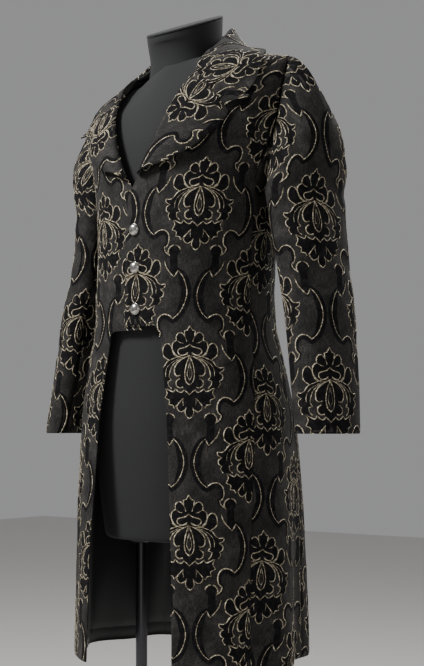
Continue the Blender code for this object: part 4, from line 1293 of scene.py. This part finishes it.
def runs_on(sheet, i, j):
    """The stretches of a line that lie on the piece, each ending exactly at the edge."""
    on = is_on(sheet, i, j)
    stretches, current = [], []
    for k in range(len(i)):
        if k and on[k] != on[k - 1]:
            low, high = 0.0, 1.0
            for _ in range(7):
                mid = (low + high) / 2
                here = is_on(sheet, i[k - 1] + (i[k] - i[k - 1]) * mid, j[k - 1] + (j[k] - j[k - 1]) * mid)
                low, high = (mid, high) if here == on[k - 1] else (low, mid)
            edge = (i[k - 1] + (i[k] - i[k - 1]) * low, j[k - 1] + (j[k] - j[k - 1]) * low)
            current.append(edge)
            if on[k - 1]:
                stretches.append(current)
                current = []
        if on[k]:
            current.append((i[k], j[k]))
        else:
            current = []
    if current:
        stretches.append(current)
    return [np.array(run) for run in stretches if len(run) > 2]


# %% Place the figures on one piece


def figure_places(sheet, origin, turn):
    """Where the necks of the palmettes come on the flat cloth: two columns, one half a repeat lower."""
    s, t = sheet["across"], sheet["along"]
    c, k = math.cos(turn), math.sin(turn)
    reach = 4 + int(np.hypot(np.ptp(s), np.ptp(t)) / COLUMN_APART)
    places = []
    for column in range(-reach, reach + 1):
        for row in range(-reach, reach + 1):
            x, y = column * COLUMN_APART, (row + (column % 2) / 2) * REPEAT_HIGH
            place = (origin[0] + c * x - k * y, origin[1] + k * x + c * y)
            room = 0.13
            if s.min() - room < place[0] < s.max() + room and t.min() - room < place[1] < t.max() + room:
                places.append(place)
    return places


def lay_figures(sheet, origin, turn_degrees=0.0, stretch=1.0):
    """The gold thread and the black pile of one piece, as two objects. stretch lengthens it along the cloth."""
    turn = math.radians(turn_degrees)
    c, k = math.cos(turn), math.sin(turn)
    spin = np.array(((c, k), (-k, c)))
    thread = {"points": [], "faces": [], "uv": [], "count": 0}
    black = {"points": [], "faces": [], "uv": [], "count": 0}
    for place in figure_places(sheet, origin, turn):
        for line, width in LINES:
            s, t = (line @ spin + place).T
            for run in runs_on(sheet, *find_on(sheet, s, t * np.where(t > 0, stretch, 1.0))):
                points, faces, uv = thread_run(sheet, run[:, 0], run[:, 1], width, thread["count"])
                thread["points"].append(points)
                thread["faces"] += faces
                thread["uv"].append(uv)
                thread["count"] += len(points)
        for layer, (points, faces) in enumerate(SHAPES):
            flat_places = points @ spin + place
            s, t = flat_places.T
            i, j = find_on(sheet, s, t * np.where(t > 0, stretch, 1.0))
            on = is_on(sheet, i, j)
            faces = faces[on[faces].any(axis=1)]
            if not len(faces):
                continue
            i, j = bring_on(sheet, i, j)
            lift = PILE_HIGH + 0.00004 * (layer % 5)
            at = sample(sheet["points"], i, j) + unit(sample(sheet["normal"], i, j)) * lift
            used, inverse = np.unique(faces, return_inverse=True)
            black["points"].append(at[used])
            black["faces"] += (inverse.reshape(-1, 3) + black["count"]).tolist()
            black["uv"].append(flat_places[used])
            black["count"] += len(used)
    made = []
    for kind, data, finish in (("gold_thread", thread, gold), ("black_figures", black, pile)):
        if not data["faces"]:
            continue
        name = f"{sheet['name']}_{kind}"
        item = mesh_object(name, np.concatenate(data["points"]), data["faces"], np.concatenate(data["uv"]), [finish])
        made.append(item)
    if len(made) > 1:
        thicken(made[1], PILE_HIGH - 0.00006)
    return made


# %% [markdown]
# ## Dress the coat
#
# Now every piece of brocade is made: its cloth, its gold and its black, and all three ride together. Each
# piece has its own place in the cloth, as the cutter laid it, so the figures don't meet at the seams. The
# size of each sheet's flat cut is measured and printed.

# %% Flat sizes, measured and printed


def flat_size(sheet):
    """Width, length and area of a piece's flat cut."""
    s, t, keep = sheet["across"], sheet["along"], sheet["keep"]
    wide = (s[:-1, 1:] - s[:-1, :-1] + s[1:, 1:] - s[1:, :-1]) / 2
    high = (t[1:, :-1] - t[:-1, :-1] + t[1:, 1:] - t[:-1, 1:]) / 2
    area = float((wide * high)[keep].sum())
    rows, columns = np.nonzero(keep)
    on_s, on_t = s[:-1, :-1][rows, columns], t[:-1, :-1][rows, columns]
    return float(np.ptp(on_s)) + 0.003, float(np.ptp(on_t)) + 0.004, area


SIZES = {}


def declare(item, sheet):
    width, length, area = flat_size(sheet)
    area = min(area, width * length)
    SIZES[sheet["name"]] = (round(width, 3), round(length, 3), round(area, 4))
    print(f"{item.name}: {width:.3f} x {length:.3f} m, {area:.3f} m2, {len(item.data.polygons)} faces")


def dress(sheet, origin, turn=0.0, stretch=1.0):
    """Makes one piece of brocade, lays the figures on it and puts it in the frame."""
    cloth = sheet_object(sheet, [brocade, satin])
    extras = lay_figures(sheet, origin, turn, stretch)
    for item in (cloth, *extras):
        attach(item, "root")
    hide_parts(sheet["name"])
    declare(cloth, sheet)
    return cloth


# %% [markdown]
# The fronts carry a few pulls that run from the buttons and the armhole. Each row is a place across and along
# the flat cloth, a turn in degrees, a length, a width and a depth, all in metres.

# %% Make the body panels
FRONT_CREASES = (
    (0.020, 0.075, -14, 0.16, 0.010, -0.0014),
    (0.035, 0.120, 8, 0.13, 0.009, 0.0012),
    (0.045, 0.045, -6, 0.15, 0.011, -0.0016),
    (0.060, 0.010, -10, 0.12, 0.010, 0.0013),
    (0.085, 0.300, 62, 0.10, 0.012, -0.0022),
    (0.070, 0.260, 75, 0.12, 0.014, 0.0018),
    (0.030, -0.200, 84, 0.26, 0.016, 0.0016),
    (-0.010, -0.360, 95, 0.22, 0.015, 0.0015),
)
FRONT_RIGHT_CREASES = tuple((-s, t - 0.012, 180 - turn, *rest) for s, t, turn, *rest in FRONT_CREASES)
BACK_CREASES = (
    (-0.110, 0.110, 12, 0.12, 0.011, -0.0018),
    (-0.100, 0.060, -9, 0.14, 0.012, 0.0015),
    (-0.120, 0.350, 70, 0.12, 0.014, -0.0020),
)
dress(front_sheet(False, FRONT_CREASES), (0.002, -0.003))
dress(front_sheet(True, FRONT_RIGHT_CREASES), (0.036, -0.044))
dress(side_sheet(False, ()), (-0.048, -0.066), -5.0)
dress(side_sheet(True, ()), (0.048, -0.066), 5.0)
dress(back_sheet(False, BACK_CREASES), (-0.052, -0.020))
dress(back_sheet(True, tuple((-s, t, -turn, *rest) for s, t, turn, *rest in BACK_CREASES)), (0.052, -0.020))

# %% Make the sleeves
SLEEVE_CREASES = (
    (-0.02, 0.250, 18, 0.11, 0.012, -0.0028),
    (0.05, 0.285, -12, 0.10, 0.011, -0.0024),
    (-0.06, 0.320, 24, 0.12, 0.014, 0.0022),
    (0.03, 0.160, 10, 0.13, 0.015, -0.0022),
    (-0.03, 0.070, -16, 0.12, 0.013, -0.0020),
    (0.06, 0.470, 55, 0.12, 0.015, -0.0026),
    (0.02, 0.500, 70, 0.10, 0.013, 0.0020),
    (-0.07, 0.500, -60, 0.11, 0.015, -0.0026),
    (0.09, 0.400, 40, 0.13, 0.016, 0.0022),
)
SLEEVE_ORIGINS = ((-0.020, 0.087), (0.105, 0.212))
SLEEVE_STRETCH = 1.068
for mirrored in (False, True):
    for sheet in sleeve_sheets(mirrored, SLEEVE_CREASES):
        dress(sheet, SLEEVE_ORIGINS[mirrored], 0.0, SLEEVE_STRETCH)

# %% Make the lapels and the collar
dress(lapel_sheet(False), (-0.037, 0.022), -105.0, 1.0)
dress(lapel_sheet(True), (0.010, 0.030), 75.0, 1.0)
dress(collar_sheet(), (0.277, 0.084), 0.0, 1.0)

# %% [markdown]
# ## The linings and the collar's stand
#
# Inside the open skirt a black satin lining shows, on its own layer just inside the brocade. The stand is the
# upright band inside the collar, faced in the same satin.

# %% Make the linings


def lining_sheet(mirrored):
    levels = BODY_LEVELS[(BODY_LEVELS <= CUT + 0.001)]
    rows = []
    for level in levels:
        line = theta_of(smooth(FRONT_LINE, "level", "x", level), level)
        middle = 180.0 - math.degrees(SEAM_GAP / 2 / 0.12) - vent_spread(level)
        rows.append(between(line + 1.4, middle - 0.7, shares(56)))
    theta = np.array(rows)
    level = np.repeat(levels[:, None], theta.shape[1], axis=1)
    level[0] += 0.011
    level[1:5] += 0.010
    points = in_by(body(theta, level), body_normal(theta, level), CLOTH + 0.0006)
    points = points * (-1, 1, 1) if mirrored else points
    name = "tail_lining_right" if mirrored else "tail_lining_left"
    return make_sheet(name, points, points * (0, 0, 1), 0, 0, None, (), 0.0)


for mirrored in (False, True):
    sheet = lining_sheet(mirrored)
    lining = sheet_object(sheet, [satin], 0.0008)
    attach(lining, "root")
    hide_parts(sheet["name"])
    declare(lining, sheet)

# %% Make the collar's stand


def neck_edge(count):
    """The neck seam from above the left lapel round to the middle of the back."""
    rise = np.linspace(1.468, SHOULDER_TOP, 24)
    front_part = body(theta_of(smooth(INNER_LINE, "level", "x", rise), rise), rise)
    fall = np.linspace(SHOULDER_TOP, BACK_NECK["level"][0], 32)
    back_part = body(180 - theta_of(smooth(BACK_NECK, "level", "x", fall), fall), fall)
    return along_line(np.concatenate([front_part, back_part[1:]]), np.linspace(0, 1, count))


def stand_sheet():
    along = np.linspace(0.32, 1, 40)
    top = collar_line(("fold_x", "fold_y", "fold_z"), along)
    inward = -unit((top - (0, 0.01, 0)) * (1, 1, 0))
    foot = neck_edge(40) + inward * 0.0016 + (0, 0, 0.0012)
    head = top + inward * 0.0016 - (0, 0, 0.0054)
    rows = np.array([between(foot, head, t) + inward * 0.0016 * math.sin(math.pi * t) for t in np.linspace(0, 1, 9)])
    points = droop(both_halves(rows))
    return make_sheet("collar_stand", points, points + droop(both_halves(np.array([inward] * 9))), 40, 0, None, (), 0.0)


sheet = stand_sheet()
stand = sheet_object(sheet, [satin], 0.0016)
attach(stand, "root")
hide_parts("collar_stand")
declare(stand, sheet)

# %% [markdown]
# ## The dress form
#
# The form is a plain padded torso with a flat underside and a neck. It is lofted from rings like the coat,
# finer than its solid, and the neck is joined on with a Boolean.

# %% Loft the torso and the neck
FORM = table(
    "level half front back",
    (0.645, 0.150, 0.118, 0.118),
    (0.750, 0.164, 0.128, 0.136),
    (0.850, 0.170, 0.134, 0.148),
    (0.950, 0.157, 0.132, 0.128),
    (1.030, 0.143, 0.130, 0.101),
    (1.100, 0.145, 0.132, 0.098),
    (1.180, 0.154, 0.134, 0.108),
    (1.270, 0.162, 0.133, 0.118),
    (1.340, 0.172, 0.124, 0.119),
    (1.400, 0.185, 0.100, 0.106),
)
NECK_TOP = 1.5535
NECK = table(
    "height half_x half_y y",
    (1.430, 0.078, 0.060, 0.004),
    (1.460, 0.071, 0.058, 0.003),
    (1.485, 0.065, 0.058, 0.002),
    (1.515, 0.066, 0.064, 0.001),
    (NECK_TOP, 0.067, 0.069, 0.000),
)
NECK_SLOPE = 0.45


def form_point(theta, level):
    """The form's skin: its own rings below, and the coat's shape under the shoulders that carry it."""
    sizes = [smooth(FORM, "level", name, level) for name in ("half", "front", "back")]
    x, y = ring(theta, *sizes)
    own = np.stack(np.broadcast_arrays(x, y, level + 0 * x), axis=-1)
    slack = 0.0005 + 0.0040 * ease((SHOULDER_TOP - level) / 0.012) + 0.006 * ease((1.45 - level) / 0.06)
    coat = body(theta, level)
    slack = slack + 0.007 * ease((0.100 - np.abs(coat[..., 0])) / 0.014) * ease((level - 1.40) / 0.04)
    carried = in_by(coat, body_normal(theta, level), CLOTH + slack)
    share = ease((level - 1.30) / 0.10)[..., None]
    return own + (carried - own) * share


def loft(name, rows, finish, close_top):
    """A closed solid from rings of points."""
    count, rings = rows.shape[1], rows.shape[0]
    faces = []
    for r in range(rings - 1):
        for c in range(count):
            d = (c + 1) % count
            faces.append((r * count + c, r * count + d, (r + 1) * count + d, (r + 1) * count + c))
    faces.append(tuple(reversed(range(count))))
    if close_top:
        faces.append(tuple(range((rings - 1) * count, rings * count)))
    points = rows.reshape(-1, 3)
    item = mesh_object(name, points, faces, points[:, (0, 2)], [finish])
    deselect_all()
    item.select_set(True)
    bpy.context.view_layer.objects.active = item
    bpy.ops.object.mode_set(mode="EDIT")
    bpy.ops.mesh.select_all(action="SELECT")
    bpy.ops.mesh.remove_doubles(threshold=1e-5)
    bpy.ops.mesh.normals_make_consistent(inside=False)
    bpy.ops.object.mode_set(mode="OBJECT")
    return item


angles = (np.arange(96) * 360 / 96 + 180) % 360 - 180
levels = refine((0.645, 0.647, 0.651, 0.658, 1.38, 1.435, 1.455, 1.472, SHOULDER_TOP), 0.012)
theta, level = np.meshgrid(angles, levels)
rows = form_point(theta, level)
rows[-1, :, 1] = 0
for row, shrink in zip(rows, (0.955, 0.980, 0.993)):
    row *= (shrink, shrink, 1)
torso = loft("dress_form_skin", droop(rows), jersey, False)

turn = np.linspace(0, math.tau, 73)[:-1]
neck_rows = []
for height in refine(NECK["height"], 0.008):
    size = {name: smooth(NECK, "height", name, height) for name in NECK}
    x, y = size["half_x"] * np.sin(turn), size["y"] - size["half_y"] * np.cos(turn)
    slope = NECK_SLOPE * y * ease((height - 1.50) / (NECK_TOP - 1.50))
    neck_rows.append(np.stack([x, y, height + slope], axis=1))
neck = loft("neck_skin", np.array(neck_rows), jersey, True)

joined = torso.modifiers.new("neck", "BOOLEAN")
joined.operation = "UNION"
joined.solver = "EXACT"
joined.object = neck
apply_modifiers(torso)
bpy.data.objects.remove(neck)
torso.data.shade_smooth()
torso.data.set_sharp_from_angle(angle=math.radians(38))
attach(torso, "root")
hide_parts("dress_form")
print(torso.name, len(torso.data.polygons), "faces")

# %% [markdown]
# ## The buttons
#
# Three cast buttons with a high dome and a fine raised rim. One is modelled with bpy.ops from half a sphere,
# a torus for the rim and a cylinder with beveled edges, and the other two are copies.

# %% Model the buttons
BUTTON_RADIUS = 0.010
BUTTON_HEIGHT = 0.007


def button_place(level):
    """Where a button sits on the left front, as a matrix with +Z out of the cloth."""
    angle = theta_of(np.array(BUTTON_X), np.array(level))
    seat, out = body(angle, np.array(level)), body_normal(angle, np.array(level))
    place = Vector(out).to_track_quat("Z", "Y").to_matrix().to_4x4()
    place.translation = Vector(seat) + Vector(out) * 2 * REST_GAP
    return place


deselect_all()
bpy.ops.mesh.primitive_uv_sphere_add(segments=48, ring_count=24, radius=1.0, location=(0, 0, 0))
dome = bpy.context.active_object
dome.name = "button_dome"
bpy.ops.object.mode_set(mode="EDIT")
bpy.ops.mesh.select_all(action="SELECT")
bpy.ops.mesh.bisect(plane_co=(0, 0, 0), plane_no=(0, 0, 1), clear_inner=True, use_fill=True)
bpy.ops.mesh.select_all(action="SELECT")
bpy.ops.transform.resize(
    value=(BUTTON_RADIUS * 0.94, BUTTON_RADIUS * 0.94, BUTTON_HEIGHT - 0.0018), center_override=(0, 0, 0)
)
bpy.ops.transform.translate(value=(0, 0, 0.0018))
bpy.ops.object.mode_set(mode="OBJECT")
deselect_all()
bpy.ops.mesh.primitive_torus_add(
    major_segments=48, minor_segments=10, major_radius=BUTTON_RADIUS - 0.0009, minor_radius=0.0009,
    location=(0, 0, 0.0014),
)
rim = bpy.context.active_object
deselect_all()
bpy.ops.mesh.primitive_cylinder_add(vertices=48, radius=0.0088, depth=0.0016, location=(0, 0, 0.0008))
plate = bpy.context.active_object
edge = plate.modifiers.new("edge", "BEVEL")
edge.width = 0.0003
edge.segments = 2
apply_modifiers(plate)
deselect_all()
for item in (dome, rim, plate):
    item.select_set(True)
bpy.context.view_layer.objects.active = dome
bpy.ops.object.join()
bpy.ops.object.transform_apply(location=True, rotation=True, scale=True)
dome.data.materials.clear()
dome.data.materials.append(silver)
dome.data.shade_smooth()
dome.data.set_sharp_from_angle(angle=math.radians(45))
for number, level in enumerate(BUTTON_LEVELS, 1):
    button = dome.copy()
    button.data = dome.data.copy()
    button.name = f"button_{number}_cast"
    bpy.context.scene.collection.objects.link(button)
    button.data.transform(button_place(level))
    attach(button, "root")
    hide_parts(f"button_{number}")
bpy.data.objects.remove(dome)
print("three buttons,", len(button.data.polygons), "faces each")

# %% [markdown]
# ## The stand
#
# The pole, its flanges and the base are turned steel parts whose solids already have the right form, so they
# stay and take the brushed steel. The neck's lid takes the form's jersey.

# %% Finish the stand
for name in ("pole", "pole_head", "pole_foot", "base_plate"):
    nodes[name].data.materials.clear()
    nodes[name].data.materials.append(steel)
nodes["neck_lid"].data.materials.clear()
nodes["neck_lid"].data.materials.append(jersey)
print("stand finished")

# %% [markdown]
# ## Floor and light
#
# A pale floor and three large soft lights. The key is high at the front right, as in the picture, and a broad
# light from the left keeps the far side readable.

# %% Floor
deselect_all()
bpy.ops.mesh.primitive_plane_add(size=14, location=(0, 0, -0.001))
floor = bpy.context.active_object
floor.name = "floor"
floor_paint, tree, shader = new_material("pale_floor", Roughness=0.7)
shader.inputs["Base Color"].default_value = colour("#d9d7d3")
floor.data.materials.append(floor_paint)

# %% Lights


def soft_light(name, place, towards, size, power):
    data = bpy.data.lights.new(name, "AREA")
    data.shape = "DISK"
    data.size = size
    data.energy = power
    item = bpy.data.objects.new(name, data)
    bpy.context.scene.collection.objects.link(item)
    item.location = place
    item.rotation_euler = (Vector(towards) - Vector(place)).to_track_quat("-Z", "Y").to_euler()


soft_light("key", (-1.2, -2.0, 3.0), (0, 0, 1.15), 0.9, 120)
soft_light("fill", (3.0, -1.2, 1.5), (0, 0, 1.0), 1.6, 10)
soft_light("top", (0.4, 1.4, 3.2), (0, 0, 1.3), 1.4, 45)
world = bpy.data.worlds.new("studio")
world.use_nodes = True
world.node_tree.nodes["Background"].inputs[0].default_value = colour("#e4e4e6")
world.node_tree.nodes["Background"].inputs[1].default_value = 0.38
bpy.context.scene.world = world
print("three lights")
